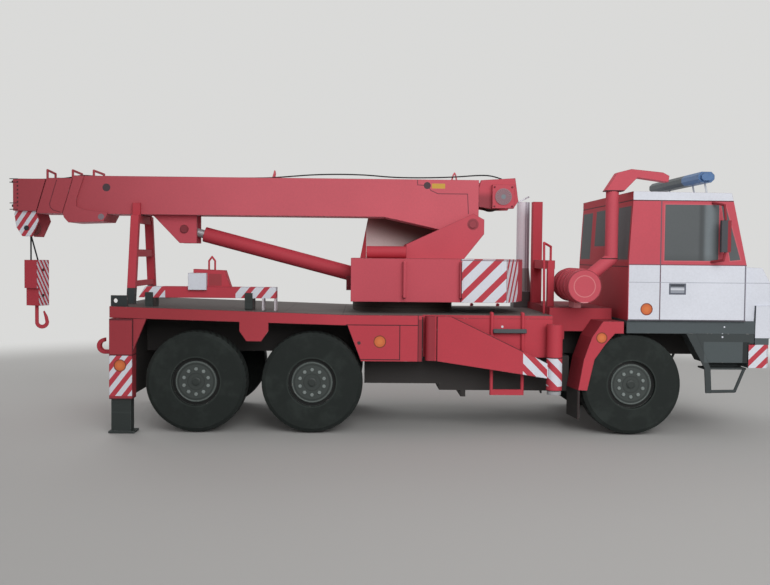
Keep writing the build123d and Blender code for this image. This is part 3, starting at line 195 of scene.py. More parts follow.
class Card:
    """A printed card material in the making: places in mm, printed layers, then the card's finish."""

    def __init__(self, name, colour):
        self.material = bpy.data.materials.new(name)
        self.tone = cleared(self.material)
        place = self.tone.node("ShaderNodeTexCoord", out="Object")
        self.place = self.tone.node(
            "ShaderNodeVectorMath", {"operation": "MULTIPLY_ADD"},
            {0: place, 1: (1 / MM,) * 3, 2: (-REAR_AXLE / MM, 0.0, 0.0)})
        facing = self.tone.node("ShaderNodeTexCoord", out="Normal")
        self.x, self.y, self.z = self.split(self.place)
        self.nx, self.ny, self.nz = self.split(facing)
        self.colour = colour

    def split(self, vector):
        return [self.tone.node("ShaderNodeSeparateXYZ", None, {0: vector}, i) for i in range(3)]

    def lay(self, mask, colour):
        """Prints a colour where the mask is 1."""
        self.colour = self.tone.blend(mask, self.colour, colour)

    def flank(self):
        """Faces that look to either side."""
        return abs(self.ny) > FACING

    def top(self):
        return self.nz > FACING

    def under(self):
        return self.nz < -FACING

    def ahead(self):
        return self.nx > FACING

    def behind(self):
        return self.nx < -FACING

    def patch(self, start, end, foot, top, u=None):
        """A rectangle of the print, along x or what is given instead."""
        along = (u or self.x).near((start + end) / 2, abs(end - start) / 2)
        return along * self.z.near((foot + top) / 2, abs(top - foot) / 2)

    def reach(self, u0, z0, u=None):
        """Distance from a point of the print."""
        du = (u or self.x) - u0
        dz = self.z - z0
        return (du * du + dz * dz).math("SQRT")

    def disc(self, x0, z0, r):
        return self.reach(x0, z0) < r

    def stroke(self, a, b, width):
        """A printed line between two points."""
        dx = self.x - a[0]
        dz = self.z - a[1]
        run = math.hypot(b[0] - a[0], b[1] - a[1])
        cx, cz = (b[0] - a[0]) / run, (b[1] - a[1]) / run
        along = (dx * cx + dz * cz).near(run / 2, run / 2 + width / 2)
        return along * (dz * cx - dx * cz).near(0.0, width / 2)

    def route(self, points, width=RULE):
        """A printed line through several points."""
        mask = None
        for a, b in zip(points, points[1:]):
            part = self.stroke(a, b, width)
            mask = part if mask is None else mask | part
        return mask

    def inside(self, points):
        """A convex outline given anticlockwise, x to the right and z up."""
        mask = None
        for a, b in zip(points, points[1:] + points[:1]):
            side = ((self.z - a[1]) * (b[0] - a[0]) - (self.x - a[0]) * (b[1] - a[1])) > 0.0
            mask = side if mask is None else mask * side
        return mask

    def hazard(self, mask, run, pitch, start, share=0.6):
        """Red and white slanting stripes; share is the white part of the pitch."""
        self.lay(mask, RED)
        self.lay(mask * (((run - start) % pitch) < pitch * share), WHITE)

    def lamp(self, x0, z0, r, where):
        """A round orange lamp with a dark rim and a paler middle."""
        rim_out, rim_in = 0.25, 0.1
        glow_span, glow_share = (r * 0.9, r * 0.2), 0.3
        place = self.reach(x0, z0)
        face = place < r - rim_in
        self.lay((place < r + rim_out) * where, ink("#7A3B2A"))
        self.lay(face * where, ORANGE)
        self.lay(face * where * (place.rise(*glow_span) * glow_share), ink("#EE9A55"))

    def noise(self, scale, detail=2.0, stretch=(1.0, 1.0, 1.0)):
        vector = self.tone.node(
            "ShaderNodeVectorMath", {"operation": "MULTIPLY"}, {0: self.place, 1: stretch})
        return self.tone.node(
            "ShaderNodeTexNoise", None,
            {"Vector": vector, "Scale": scale, "Detail": detail, "Roughness": 0.65})

    def flecks(self, scale, low, high, share, **grain):
        """A patchy mask, where noise rises from low to high, at part strength."""
        return self.noise(scale, **grain).rise(low, high) * share

    def finish(self, rough=0.68, mottle=0.2, edge=OUTLINE, edge_share=0.75, metallic=0.0, quiet=None):
        """Mottle, inked and nicked cut edges save where quiet, and a fibre bump; gives the material."""
        tone = self.tone
        fine = self.noise(FIBRE_GRAIN, detail=3.0)
        slow = self.noise(BLOTCH_GRAIN)
        shade = 1.0 + (fine - 0.5) * mottle + (slow - 0.5) * BLOTCH_SHARE
        colour = tone.blend(1.0, self.colour, shade, "MULTIPLY")
        rounded = tone.node("ShaderNodeBevel", {"samples": 4}, {"Radius": EDGE_R * MM})
        flat = tone.node("ShaderNodeNewGeometry", out="Normal")
        turn = tone.node("ShaderNodeVectorMath", {"operation": "DOT_PRODUCT"}, {0: rounded, 1: flat}, "Value")
        bend = (1.0 - turn).rise(*EDGE_SPAN)
        if quiet is not None:
            bend = bend * (1.0 - quiet)
        nicks = self.noise(NICK_GRAIN).rise(*NICK_SPAN)
        colour = tone.blend(bend * edge_share, colour, edge)
        colour = tone.blend(bend * nicks * NICK_SHARE, colour, STOCK)
        bump = tone.node("ShaderNodeBump", None, {
            "Strength": BUMP_STRENGTH, "Distance": BUMP_DEPTH * MM,
            "Height": fine + self.noise(TOOTH_GRAIN) * TOOTH_SHARE})
        shader = tone.node("ShaderNodeBsdfPrincipled", None, {
            "Base Color": colour, "Roughness": rough + (fine - 0.5) * ROUGH_SPREAD, "Metallic": metallic,
            "Specular IOR Level": GLOSS, "Normal": bump})
        tone.node("ShaderNodeOutputMaterial", None, {"Surface": shader})
        return self.material


def dress(material, *nodes):
    """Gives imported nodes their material."""
    for node in nodes:
        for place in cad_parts[node].material_slots:
            place.link = "OBJECT"
            place.material = material


# Wheels.
def hub_offset(card):
    """Along and up from the middle of the wheel that the face belongs to."""
    middle = (card.x > STATIONS["middle"] / 2) * STATIONS["middle"]
    front_gap = STATIONS["front"] - STATIONS["middle"]
    middle = middle + (card.x > STATIONS["front"] - 2 * WHEEL_R) * front_gap
    return card.x - middle, card.z - WHEEL_R


def hub_reach(card):
    """Distance from the middle of the wheel."""
    dx, dz = hub_offset(card)
    return (dx * dx + dz * dz).math("SQRT")


def hub_angle(card):
    """Angle round the middle of the wheel."""
    dx, dz = hub_offset(card)
    return dz.math("ARCTAN2", dx)


def tyre_print():
    """Pale cut edge round the hole, dusty wall, worn shoulder, tread lugs."""
    hole_line = (8.85, 0.2)
    shoulder, shoulder_share, tread_depth = 0.5, 0.4, 1.0
    lugs, lug_share, lug_slant = 48, 0.35, 0.12
    card = Card("tyre_print", TYRE)
    reach = hub_reach(card)
    card.lay(reach.near(*hole_line), ink("#272E2B"))
    card.lay(card.flecks(scale=0.12, low=0.45, high=0.7, share=0.35, detail=3.0), ink("#323936"))
    card.lay((reach > WHEEL_R - shoulder) * shoulder_share, WORN_TYRE)
    tread = (abs(card.ny) < FACING) * (reach > WHEEL_R - tread_depth)
    lug = (hub_angle(card) * (lugs / math.tau) + abs(card.y) * lug_slant) % 1.0
    card.lay(tread * (lug < lug_share), ink("#0D100F"))
    return card.finish(rough=0.8, mottle=0.35, edge=ink("#303734"), edge_share=0.4)


def rim_print():
    """Painted shadow in the gap at the rim's edge, a groove, hub and cap."""
    gap_shadow_r, hub_r = 7.35, 3.0
    groove, hub_line, cap_line = (6.3, 0.25), (hub_r, 0.15), (1.5, 0.12)
    card = Card("rim_print", RIM)
    reach = hub_reach(card)
    # Painted shadow in the gap between rim and tyre.
    card.lay(reach > gap_shadow_r, ink("#060908"))
    card.lay(reach.near(*groove), WORN_TYRE)
    card.lay(reach < hub_r, ink("#363C3A"))
    card.lay(reach.near(*hub_line) | reach.near(*cap_line), ink("#272C2A"))
    return card.finish(rough=0.55, mottle=0.35, edge=ink("#666E6C"), edge_share=0.5)


def nut_print():
    """Pale nuts, dark hub cap inside their circle, the rim's lip outside it."""
    cap_r, lip_r = 2.0, 6.0
    card = Card("nut_print", ink("#7C8482"))
    reach = hub_reach(card)
    card.lay(reach < cap_r, ink("#2C3230"))
    card.lay(reach > lip_r, ink("#59615E"))
    return card.finish(rough=0.5, edge=ink("#7B8381"), edge_share=0.4)


WHEELS = [f"{station}_{side}" for station in STATIONS for side in SIDES]
dress(tyre_print(), *(f"tyre_{wheel}" for wheel in WHEELS))
dress(rim_print(), *(f"rim_{wheel}" for wheel in WHEELS))

# Plain cards, wire and thread.
PLAIN_RED = Card("red_card", RED).finish()
BLACK_CARD = Card("black_card", SOOT_AND_SHADE).finish(edge=ink("#4A4543"), mottle=0.3)
PIN_RED = Card("pin_red", ink("#7E323B")).finish(edge_share=0.4)
THREAD = Card("thread_black", THREAD_INK).finish(rough=0.85, mottle=0.5, edge=THREAD_INK)
dress(BLACK_CARD, "axles", "chassis_frame")
dress(PLAIN_RED, "hook", "lift_barrel", "turret_tank")
dress(Card("red_wire", RED).finish(edge_share=0.1), "ladders")
jack = Card("foot_grey", ink("#9C9DA0"))
dress(jack.finish(edge=ink("#6F7072")), "outrigger_jack_right", "outrigger_jack_left")

# Cards with a single printed layer or none; the platform's darker red and darker top and the rear beam's dark
# front face are painted shade; the rack's wire rail has no inked edge.
# Platform in a darker red, its top darker still: painted shade.
ledge = Card("platform_shade", ink("#A8323E"))
ledge.lay(ledge.top(), ink("#86242F"))
dress(ledge.finish(), "platform")
RAIL_Y = -16.65
rack = Card("rack_print", RED)
dress(rack.finish(quiet=rack.y < RAIL_Y), "equipment_frame")
TAIL_FACE = spot("rear_leg_housings")[0].x + 0.1
tail = Card("rear_beam_print", RED)
# Painted shade on the rear beam's front face.
tail.lay(tail.x > TAIL_FACE, SOOT_AND_SHADE)
dress(tail.finish(), "rear_beam")
leg = Card("leg_black", BLACK)
leg.lay(leg.flecks(scale=0.25, low=0.5, high=0.75, share=0.4, stretch=(0.3, 1.0, 3.0)), ink("#434A49"))
LEG_BLACK = leg.finish(edge=ink("#555C5B"))
dress(LEG_BLACK, "rear_jack_right", "rear_jack_left")
RING_SEAM = (44.2, 0.2)
ring = Card("turntable_brown", ink("#3A302C"))
ring.lay(ring.z.near(*RING_SEAM), ink("#2A2321"))
dress(ring.finish(edge=ink("#57504C")), "turntable", "winch_drum")
HEAD_PIN = (-70.0, 72.9)
SHEAVE_R = spot("head_sheave")[1].z - HEAD_PIN[1] + 0.1
sheave = Card("sheave_print", THREAD_INK)
sheave.lay(sheave.disc(*HEAD_PIN, SHEAVE_R), ink("#7E3A3C"))
dress(sheave.finish(rough=0.8, edge=ink("#3A2224")), "head_sheave")
rod = Card("rod_silver", ink("#B9BABD"))
rod.lay(rod.flecks(scale=0.6, low=0.45, high=0.6, share=0.5, stretch=(0.15, 3.0, 3.0)), ink("#8C8F94"))
dress(rod.finish(rough=0.4, metallic=0.35, edge=ink("#6F7175")), "lift_rod")
REST_FEET, REST_BRACKET_Y = 50.6, 25.0
rest = Card("rest_print", RED)
rest.lay((rest.z < REST_FEET) | (abs(rest.y) > REST_BRACKET_Y), ink("#2C3233"))
dress(rest.finish(), "boom_rest")
PIPE_SEAMS = ((63.3, 0.2), (87.7, 0.2))
pipe = Card("pipe_print", LIT_UPPER_RED)
pipe.lay(pipe.z.near(*PIPE_SEAMS[0]) | pipe.z.near(*PIPE_SEAMS[1]), OUTLINE)
dress(pipe.finish(), "intake_pipe")
PIN_HEAD, PIN_HEAD_Y = (101.0, 75.9, 2.2), 11.2
ears = Card("ear_print", LIT_UPPER_RED)
ears.lay((abs(ears.y) > PIN_HEAD_Y) * ears.disc(*PIN_HEAD), ink("#97404A"))
dress(ears.finish(), "turret_ears")
LIFT_EYE = (-10.2, 73.1, 1.7)
bracket = Card("bracket_print", LIT_UPPER_RED)
bracket.lay(bracket.flank() * bracket.disc(*LIFT_EYE), ink("#83323B"))
dress(bracket.finish(), "lift_bracket")


# Chassis.
def deck_print():
    """Grey-brown walkway with printed seams, painted shade that darkens it to the rear; red front flank."""
    seams_along, seams_across = (8.0, 17.5, 27.0, 33.5), (-12.0, 10.0, 31.0, 52.0, 96.0, 112.0)
    along_half, across_half = 0.22, 0.2
    tread, tread_share = (30.2, 3.0), 0.35
    rear_shade_span, rear_shade_share = (70.0, 0.0), 0.7
    board_foot, red_start = 41.5, 78.0
    card = Card("deck_print", DECK)
    for seam in seams_along:
        card.lay(abs(card.y).near(seam, along_half), ink("#45403E"))
    for seam in seams_across:
        card.lay(card.x.near(seam, across_half), ink("#4A4543"))
    card.lay(abs(card.y).near(*tread) * tread_share, ink("#7B7470"))
    # Painted shade, deepening towards the rear.
    card.lay(card.x.rise(*rear_shade_span) * rear_shade_share, ink("#3B3432"))
    card.lay(card.z < board_foot, SOOT_AND_SHADE)
    card.lay(card.flank() * (card.x > red_start), RED)
    return card.finish(mottle=0.4, edge=ink("#3C3735"))


def body_print():
    """Band with painted shade that darkens it to the rear, tool box with its door and lamp, panel behind the
    arm, painted shade on the underside.
    """
    rear_shade_span = (60.0, -10.0)
    door = [(53.6, 38.9), (72.4, 38.9), (72.4, 26.6), (58.3, 26.6)]
    box_seam = (53.2, 80.4, 38.75, 39.05)
    knob, filler = (57.9, 32.5, 0.62), (109.7, 38.3, 0.42)
    side_lamp = (65.3, 33.0, 2.0)
    box_end, end_line = (78.9, 80.4, 20.0, 41.0), (78.9, 0.14)
    hinge_gap = (80.25, 81.0, 20.0, 42.0)
    ledge_z = 41.0
    card = Card("body_print", RED)
    flank = card.flank()
    # Painted shade, deepening towards the rear.
    card.lay(flank * card.x.rise(*rear_shade_span), ink("#9D333B"))
    card.lay(flank * card.route(door + door[:1]), OUTLINE)
    card.lay(flank * card.patch(*box_seam), OUTLINE)
    card.lay(flank * card.disc(*knob), ink("#4A3438"))
    card.lamp(*side_lamp, flank)
    card.lay(flank * card.patch(*box_end), ink("#8C2C36"))
    card.lay(flank * card.x.near(*end_line), OUTLINE)
    card.lay(flank * card.patch(*hinge_gap), ink("#241416"))
    card.lay(flank * card.disc(*filler), WHITE)
    card.lay(card.top() * (card.z > ledge_z), ink("#3F3A38"))
    # Painted shade on the underside.
    card.lay(card.under(), SHADED_UNDER_RED)
    return card.finish()


def leg_housing_print():
    """Stripes above the foot, fold lines and a lamp."""
    back = spot("rear_leg_housings")[0].x
    front, over = -22.1, 1.0
    stripes, fold = (back - over, front, 13.1, 27.5), (back - over, front, 27.4, 27.8)
    front_fold, top_fold = (front - 0.1, front + 0.3, 27.0, 41.0), (back, front, 39.9, 40.3)
    side_lamp, foot_band, slant = (-26.4, 23.9, 1.95), 12.3, 1.29
    # The housing's red is darker than the card red: painted shade, for the light falling off to the rear.
    card = Card("leg_housing_print", ink("#9C343D"))
    flank = card.flank()
    zone = card.patch(*stripes) * (card.nx < FACING)
    card.hazard(zone, card.x * slant - card.z, pitch=5.53, start=0.4, share=0.5)
    card.lay(flank * (card.patch(*front_fold) | card.patch(*top_fold)), OUTLINE)
    card.lay(card.patch(*fold), OUTLINE)
    card.lamp(*side_lamp, flank)
    card.lay(card.z < foot_band, ink("#5A262E"))
    return card.finish()


def lifting_beam_print():
    """Striped ends, dark feet and a pale front foot."""
    low, high = BEAM
    over, stripe_foot, stripe_top, slant = 1.0, 44.0, 52.0, 1.25
    rear_end, front_end = -12.4, 13.0
    depth, front_foot = 4.05, 21.0
    card = Card("beam_print", RED)
    for start, end in ((low.x - over, rear_end), (front_end, high.x + over)):
        zone = card.patch(start, end, stripe_foot, stripe_top)
        card.hazard(zone, card.x * slant - card.z, pitch=6.6, start=0.0)
    feet = card.z < high.z - depth
    card.lay(feet * (card.x < front_foot), ink("#2E2A29"))
    card.lay(feet * (card.x > front_foot), ink("#C9C2C8"))
    return card.finish()


def beam_housing_print():
    """White rear block, darker panel beside it, wire eye on top."""
    end = spot("beam_housing")[0].x + 6.6
    foot = BEAM[1].z
    block_top, eye_foot, seat = 5.02, 6.5, 0.02
    panel = (end + 0.6, end + 5.2, foot + 0.4, foot + 4.7)
    card = Card("pad_print", RED)
    card.lay((card.x < end + seat) * (card.z < foot + block_top), WHITE)
    card.lay(card.patch(*panel) * card.flank(), ink("#9C3A41"))
    return card.finish(quiet=card.z > foot + eye_foot)


def stack_print():
    """Seams up the tube, shaded to the front, grey cone and dark boot."""
    low = spot("exhaust_stack")[0]
    middle = low.x + 4.3
    shade_span, shade_share = (middle - 0.8, middle + 2.2), 0.55
    seams, seam_half = (0.7, 1.7), 0.16
    boot, cone, cone_share = 6.8, 16.5, 0.8
    card = Card("stack_print", LAVENDER)
    card.lay(card.x.rise(*shade_span) * shade_share, ink("#8F8794"))
    for seam in seams:
        card.lay(card.x.near(middle + seam, seam_half), ink("#857D8B"))
    card.lay(card.z < low.z + boot, ink("#4A4142"))
    card.lay((card.z > low.z + boot) * (card.z < low.z + cone) * cone_share, ink("#625754"))
    return card.finish(rough=0.5, edge=ink("#7B7482"))


def filter_print():
    """Ring and dark edge on the face, ribs round the drum, pale foot."""
    low, high = spot("air_filter")
    middle_x, middle_z = (low.x + high.x) / 2, high.z - 6.35
    face_depth, ring, face_edge = 0.3, (3.8, 0.16), 5.7
    rib_pitch, rib, rib_r = 3.0, (1.5, 0.25), 5.5
    foot_drop, foot_half = 5.6, 1.45
    card = Card("filter_print", LIT_UPPER_RED)
    reach = card.reach(middle_x, middle_z)
    face = card.y < low.y + face_depth
    card.lay(face * reach.near(*ring), ink("#CF7A7E"))
    card.lay(face * (reach > face_edge), ink("#A33A47"))
    card.lay((card.y % rib_pitch).near(*rib) * (reach > rib_r), ink("#8B2C38"))
    card.lay((card.z < middle_z - foot_drop) * card.x.near(middle_x, foot_half), ink("#D98E94"))
    return card.finish()


BEAM = spot("lifting_beam")
dress(deck_print(), "deck")
dress(body_print(), "body_sides")
dress(leg_housing_print(), "rear_leg_housings")
dress(lifting_beam_print(), "lifting_beam")
dress(beam_housing_print(), "beam_housing")
dress(stack_print(), "exhaust_stack")
dress(filter_print(), "air_filter")

# Cab: heights of its printed lines.
CAB = spot("cab_shell")
EAVES = CAB[1].z - 3.2
WAIST = 61.3
CREASE = (55.0, 0.1)
WAIST_HALF, EAVES_HALF = 0.18, 0.16


def print_cab_side(card):
    """Door, side glass with its shine, handle, fold lines and lamp."""
    glass, glass_rim = (166.3, 185.6, 62.8, 82.7), (165.95, 185.9, 62.45, 83.05)
    quarter = [(186.4, 82.4), (189.9, 62.9), (193.6, 63.3), (187.9, 82.4)]
    quarter_rim = [(186.1, 82.8), (189.6, 62.5), (194.1, 62.95), (188.2, 82.8)]
    shine_x, shine_span, shine_share = 182.4, (3.8, 0.2), 0.42
    post_x, post_span, post_share = 179.6, (1.6, 0.2), 0.6
    sill_span, sill_share = (66.0, 62.0), 0.4
    door_line, front_line, foot_line = (165.0, 0.2), (CAB[1].x - 0.4, 0.22), (41.5, 0.25)
    handle = (((168.2, 174.3, 50.7, 54.7), "#5D616C"), ((168.8, 173.7, 51.3, 54.0), "#969AA4"),
              ((168.8, 173.7, 52.3, 53.0), "#C9CCD4"), ((168.8, 173.7, 53.5, 54.3), "#3F424A"))
    door_lamp = (160.3, 45.4, 1.95)
    flank = card.flank()
    card.lay(flank * card.z.near(WAIST, WAIST_HALF), ink("#7E4A55"))
    pane = card.patch(*glass)
    card.lay(flank * (card.patch(*glass_rim) | card.inside(quarter_rim)), PALE_RED)
    card.lay(flank * (pane | card.inside(quarter)), GLASS)
    card.lay(flank * pane * (abs(card.x - shine_x).rise(*shine_span) * shine_share), SHINE)
    card.lay(flank * pane * (abs(card.x - post_x).rise(*post_span) * post_share), ink("#3A3D3F"))
    card.lay(flank * pane * (card.z.rise(*sill_span) * sill_share), ink("#3E4244"))
    card.lay(flank * card.x.near(*door_line) * (card.z < EAVES), ink("#6A5560"))
    card.lay(flank * card.x.near(*front_line) * (card.z < WAIST), ink("#6B6874"))
    card.lay(flank * card.z.near(*CREASE), FOLD_GREY)
    card.lay(flank * card.z.near(*foot_line), ink("#55565E"))
    for part, colour in handle:
        card.lay(flank * card.patch(*part), ink(colour))
    card.lamp(*door_lamp, flank)


def print_cab_back(card):
    """Rear wall in a darker red as painted shade, with two outer windows and one between them."""
    outer, outer_rim = (20.4, 37.2, 63.0, 82.2), (19.7, 37.9, 62.3, 82.9)
    centre, centre_rim = (-5.0, 14.0, 68.2, 82.4), (-5.7, 14.7, 67.5, 83.1)
    high_line, low_line = (84.2, 0.2), (60.5, 0.18)
    behind = card.behind()
    panes = card.patch(*outer, u=abs(card.y)) | card.patch(*centre, u=card.y)
    rims = card.patch(*outer_rim, u=abs(card.y)) | card.patch(*centre_rim, u=card.y)
    # Painted shade: the rear wall is a darker red than the cab.
    card.lay(behind, ink("#AE3440"))
    card.lay(behind * rims, ink("#A93E48"))
    card.lay(behind * panes, ink("#55595B"))
    card.lay(behind * (card.z.near(*high_line) | card.z.near(*low_line)), OUTLINE)


def print_cab_front(card):
    """Windscreen with a slanting shine and a post in the middle."""
    half, sill, head = 35.0, 2.0, 1.8
    shine, shine_share, post = (72.0, 5.0), 0.35, (0.0, 0.5)
    across, upward = 0.6, 0.9
    ahead = card.ahead()
    screen = ahead * card.patch(-half, half, WAIST + sill, EAVES - head, u=card.y)
    card.lay(ahead * (card.z > WAIST) * (card.z < EAVES), RED)
    card.lay(screen, GLASS)
    card.lay(screen * ((card.y * across + card.z * upward).near(*shine) * shine_share), SHINE)
    card.lay(screen * card.y.near(*post), PALE_RED)


def cab_print():
    """White below the waist and above the eaves, red between."""
    rear_wall = CAB[0].x + 0.25
    card = Card("cab_print", LIT_UPPER_RED)
    card.lay((card.z < WAIST) * (card.x > rear_wall), WHITE)
    card.lay((card.z > EAVES) * (card.x > rear_wall), WHITE)
    card.lay(card.z.near(EAVES, EAVES_HALF), OUTLINE)
    print_cab_side(card)
    print_cab_back(card)
    print_cab_front(card)
    return card.finish(edge=ink("#6A3A44"), edge_share=0.4)


def nose_print():
    """White nose with a barred grille."""
    frame_patch, bars_patch = (-24.0, 24.0, 48.4, 53.0), (-23.0, 23.0, 48.9, 52.5)
    bar_pitch, bar_gap = 1.2, 0.5
    card = Card("nose_print", WHITE)
    ahead = card.ahead()
    card.lay(card.z.near(*CREASE), FOLD_GREY)
    card.lay(ahead * card.patch(*frame_patch, u=card.y), ink("#3F4447"))
    card.lay(ahead * card.patch(*bars_patch, u=card.y) * ((card.z % bar_pitch) < bar_gap), ink("#2A2E30"))
    return card.finish(edge=ink("#77798A"), edge_share=0.45)


def base_print():
    """Grey cab base with two pale rivets and painted shade on its underside."""
    rivets = ((188.8, 39.2, 0.3), (188.2, 36.6, 0.3))
    card = Card("base_grey", ink("#4B5356"))
    card.lay(card.flank() * (card.disc(*rivets[0]) | card.disc(*rivets[1])), WHITE)
    # Painted shade on the underside.
    card.lay(card.under(), SOOT_AND_SHADE)
    return card.finish(mottle=0.3, edge=ink("#2F3436"))


def step_print():
    """Grey step box: paler panel, dark front edge, two pale rivets."""
    panel, front_edge = (181.5, 197.4, 26.4, 33.8), (195.6, 198.0, 24.0, 33.8)
    rivets = ((188.8, 39.2, 0.32), (188.2, 35.6, 0.32))
    card = Card("step_grey", ink("#393F40"))
    flank = card.flank()
    card.lay(flank * card.patch(*panel), ink("#4A5254"))
    card.lay(flank * card.patch(*front_edge), ink("#222627"))
    card.lay(flank * (card.disc(*rivets[0]) | card.disc(*rivets[1])), WHITE)
    return card.finish(mottle=0.3, edge=ink("#1F2425"))


def bumper_print():
    """Striped corners, grey shelf, round lamps in the white blocks, grey back."""
    low = spot("bumper")[0]
    bar_top, shelf_foot, shelf_top, corner_y, turn = 8.45, 8.4, 35.3, 22.0, 0.6
    block_foot, lamp_place = 37.2, (31.0, 41.6)
    card = Card("bumper_print", WHITE)
    corner = (card.z < low.z + bar_top) * (abs(card.y) > corner_y)
    card.hazard(corner, card.x + abs(card.y) * turn - card.z, pitch=5.4, start=1.2, share=0.55)
    card.lay((card.z > low.z + shelf_foot) * (card.z < shelf_top), GREY)
    block = card.ahead() * (card.z > block_foot)
    reach = card.reach(*lamp_place, u=abs(card.y))
    for r, colour in ((4.2, "#6A6F75"), (3.7, "#C9D2D8"), (1.6, "#EEF1F2")):
        card.lay(block * (reach < r), ink(colour))
    card.lay(card.behind(), GREY)
    return card.finish(edge=ink("#6D707C"), edge_share=0.4)


def mirror_print():
    """Red frame wires, dark mirror plates at the outer ends."""
    high = spot("mirrors")[1]
    plate_y, wire_y, plate_front = high.y - 1.65, high.y - 1.7, high.x - 1.2
    plate_z = (71.5, 5.7)
    card = Card("mirror_print", ink("#8E2A34"))
    across = abs(card.y)
    card.lay((across > plate_y) * (card.x < plate_front) * card.z.near(*plate_z), ink("#46474C"))
    return card.finish(quiet=across < wire_y)


def light_bar_print():
    """Dark bar with a blue end towards the right, silver feet."""
    feet_top = spot("light_bar")[0].z + 4.3
    blue_end, joint_half = 11.0, 0.3
    grey_span, grey_share = (0.45, 0.7), 0.5
    blue_span, blue_share = (0.5, 0.75), 0.6
    card = Card("light_bar_print", ink("#363F44"))
    streak = card.noise(scale=0.5, detail=3.0, stretch=(1.0, 0.25, 2.0))
    blue = card.y < -blue_end
    feet = card.z < feet_top
    card.lay(streak.rise(*grey_span) * grey_share, ink("#3C4449"))
    card.lay(blue, BLUE)
    card.lay(blue * (streak.rise(*blue_span) * blue_share), ink("#2C5C93"))
    card.lay(abs(card.y).near(blue_end, joint_half), ink("#2C3438"))
    card.lay(feet, SILVER)
    return card.finish(rough=0.4, edge=ink("#36404A"), quiet=feet)


def mudguard_print():
    """Bright crescent face with a lamp, band darker as painted shade, black flap."""
    flap_top = WHEEL_R - 1.95
    guard_lamp = (144.5, 35.0, 1.75)
    card = Card("mudguard_print", RED)
    # Painted shade on the band.
    card.lay(abs(card.ny) < FACING, ink("#8C2A34"))
    card.lamp(*guard_lamp, card.flank())
    card.lay(card.z < flap_top, ink("#2A2827"))
    return card.finish()


BASE_GREY = base_print()
dress(cab_print(), "cab_shell")
dress(nose_print(), "cab_nose")
dress(BASE_GREY, "cab_base")
dress(step_print(), "cab_steps")
dress(bumper_print(), "bumper")
dress(mirror_print(), "mirrors")
dress(light_bar_print(), "light_bar")
dress(mudguard_print(), "mudguards")


# Outriggers, turret and operator's cabin.
def arm_print():
    """Dark hinge end, edge line along the arm, striped end and jack tube."""
    hinge_end, hinge_line = 85.0, (85.7, 0.16)
    upper_edge, upper_rule = [(90.9, 42.1), (119.6, 28.4), (125.6, 25.4)], 0.42
    stripe_start, tube_start = 116.5, 125.2
    pitch, arm_start, tube_stripe, share = 6.4, 1.4, 5.4, 0.56
    tube_band, tube_foot, tube_line = (22.4, 5.0), 17.4, (27.6, 0.18)
    card = Card("arm_print", RED)
    flank = card.flank()
    tube = card.x > tube_start
    card.lay(card.x < hinge_end, ink("#98303B"))
    card.lay(flank * card.x.near(*hinge_line), OUTLINE)
    card.lay(flank * card.route(upper_edge, upper_rule), OUTLINE)
    arm_end = (card.x > stripe_start) * (card.x < tube_start)
    card.hazard(arm_end, card.x + card.z, pitch, arm_start, share)
    card.hazard(tube * card.z.near(*tube_band), card.x + card.z, pitch, tube_stripe, share)
    card.lay(tube * (card.z < tube_foot), RED)
    card.lay(tube * card.z.near(*tube_line), OUTLINE)
    return card.finish()


def turret_print():
    """Stripes round the rear corners; painted shade on the front face and underside."""
    low, high = spot("turret")
    half, facet_run = 28.0, 2.2
    stripe_x, corner_x, facet_x = 95.0, high.x - 8.4, high.x - 3.1
    corner_white, corner_line, stripe_line = (corner_x + 0.5, 0.45), (corner_x + 0.02, 0.12), (stripe_x, 0.16)
    top_line, front_depth, rail_out = (high.z - 0.5, 0.14), 2.05, 0.05
    card = Card("turret_print", LIT_UPPER_RED)
    run = card.x + ((half - abs(card.y)) | 0.0) * facet_run
    upright = abs(card.nz) < FACING
    card.hazard(upright * (card.x > stripe_x) * (card.x < facet_x), run - card.z, pitch=7.8, start=48.3)
    card.lay(upright * card.x.near(*stripe_line), OUTLINE)
    card.lay(upright * run.near(*corner_white) * (card.x < facet_x), WHITE)
    card.lay(upright * run.near(*corner_line), OUTLINE)
    card.lay(upright * (card.x > stripe_x) * card.z.near(*top_line), ink("#77535C"))
    # Painted shade on the underside and the front face.
    card.lay(card.under(), SHADED_UNDER_RED)
    card.lay(card.x < low.x + front_depth, ink("#7A2630"))
    return card.finish(quiet=abs(card.y) > half + rail_out)


def cabin_print():
    """Red frame, grey glass, pale inner wall beside the boom with the boom's painted shadow darkening it
    upward.
    """
    low, high = spot("operator_cabin")
    inner_start, slant, slant_x, slant_z, shade_span = 60.2, 0.35, 60.0, 62.6, (8.0, 18.0)
    frame_line = [(62.2, 66.0), (86.0, 66.0), (85.2, 88.4), (64.4, 88.4)]
    front_pane = [(62.9, 66.6), (73.4, 66.6), (73.4, 87.8), (65.0, 87.8)]
    rear_pane = [(74.6, 72.0), (85.2, 72.0), (84.6, 87.8), (74.6, 87.8)]
    post, margin, pane_foot, pane_top = (74.0, 0.18), 1.6, 68.5, 88.2
    card = Card("cabin_print", RED)
    inner, outer = card.ny < -FACING, card.ny > FACING
    slope = (card.x - slant_x) * slant + card.z - slant_z
    card.lay(inner * (card.x > inner_start), ink("#DED9D6"))
    # Painted shadow of the boom on the inner wall.
    card.lay(inner * (card.x > inner_start) * slope.rise(*shade_span), ink("#6E4E4A"))
    for outline, colour in ((frame_line, PALE_RED), (front_pane, GLASS), (rear_pane, GLASS)):
        card.lay(outer * card.inside(outline), colour)
    card.lay(outer * card.x.near(*post), OUTLINE)
    end_pane = card.patch(low.y + margin, high.y - margin, pane_foot, pane_top, u=card.y)
    card.lay((abs(card.nx) > FACING) * end_pane, GLASS)
    return card.finish()


dress(arm_print(), "outrigger_right", "outrigger_left")
dress(turret_print(), "turret")
dress(cabin_print(), "operator_cabin")

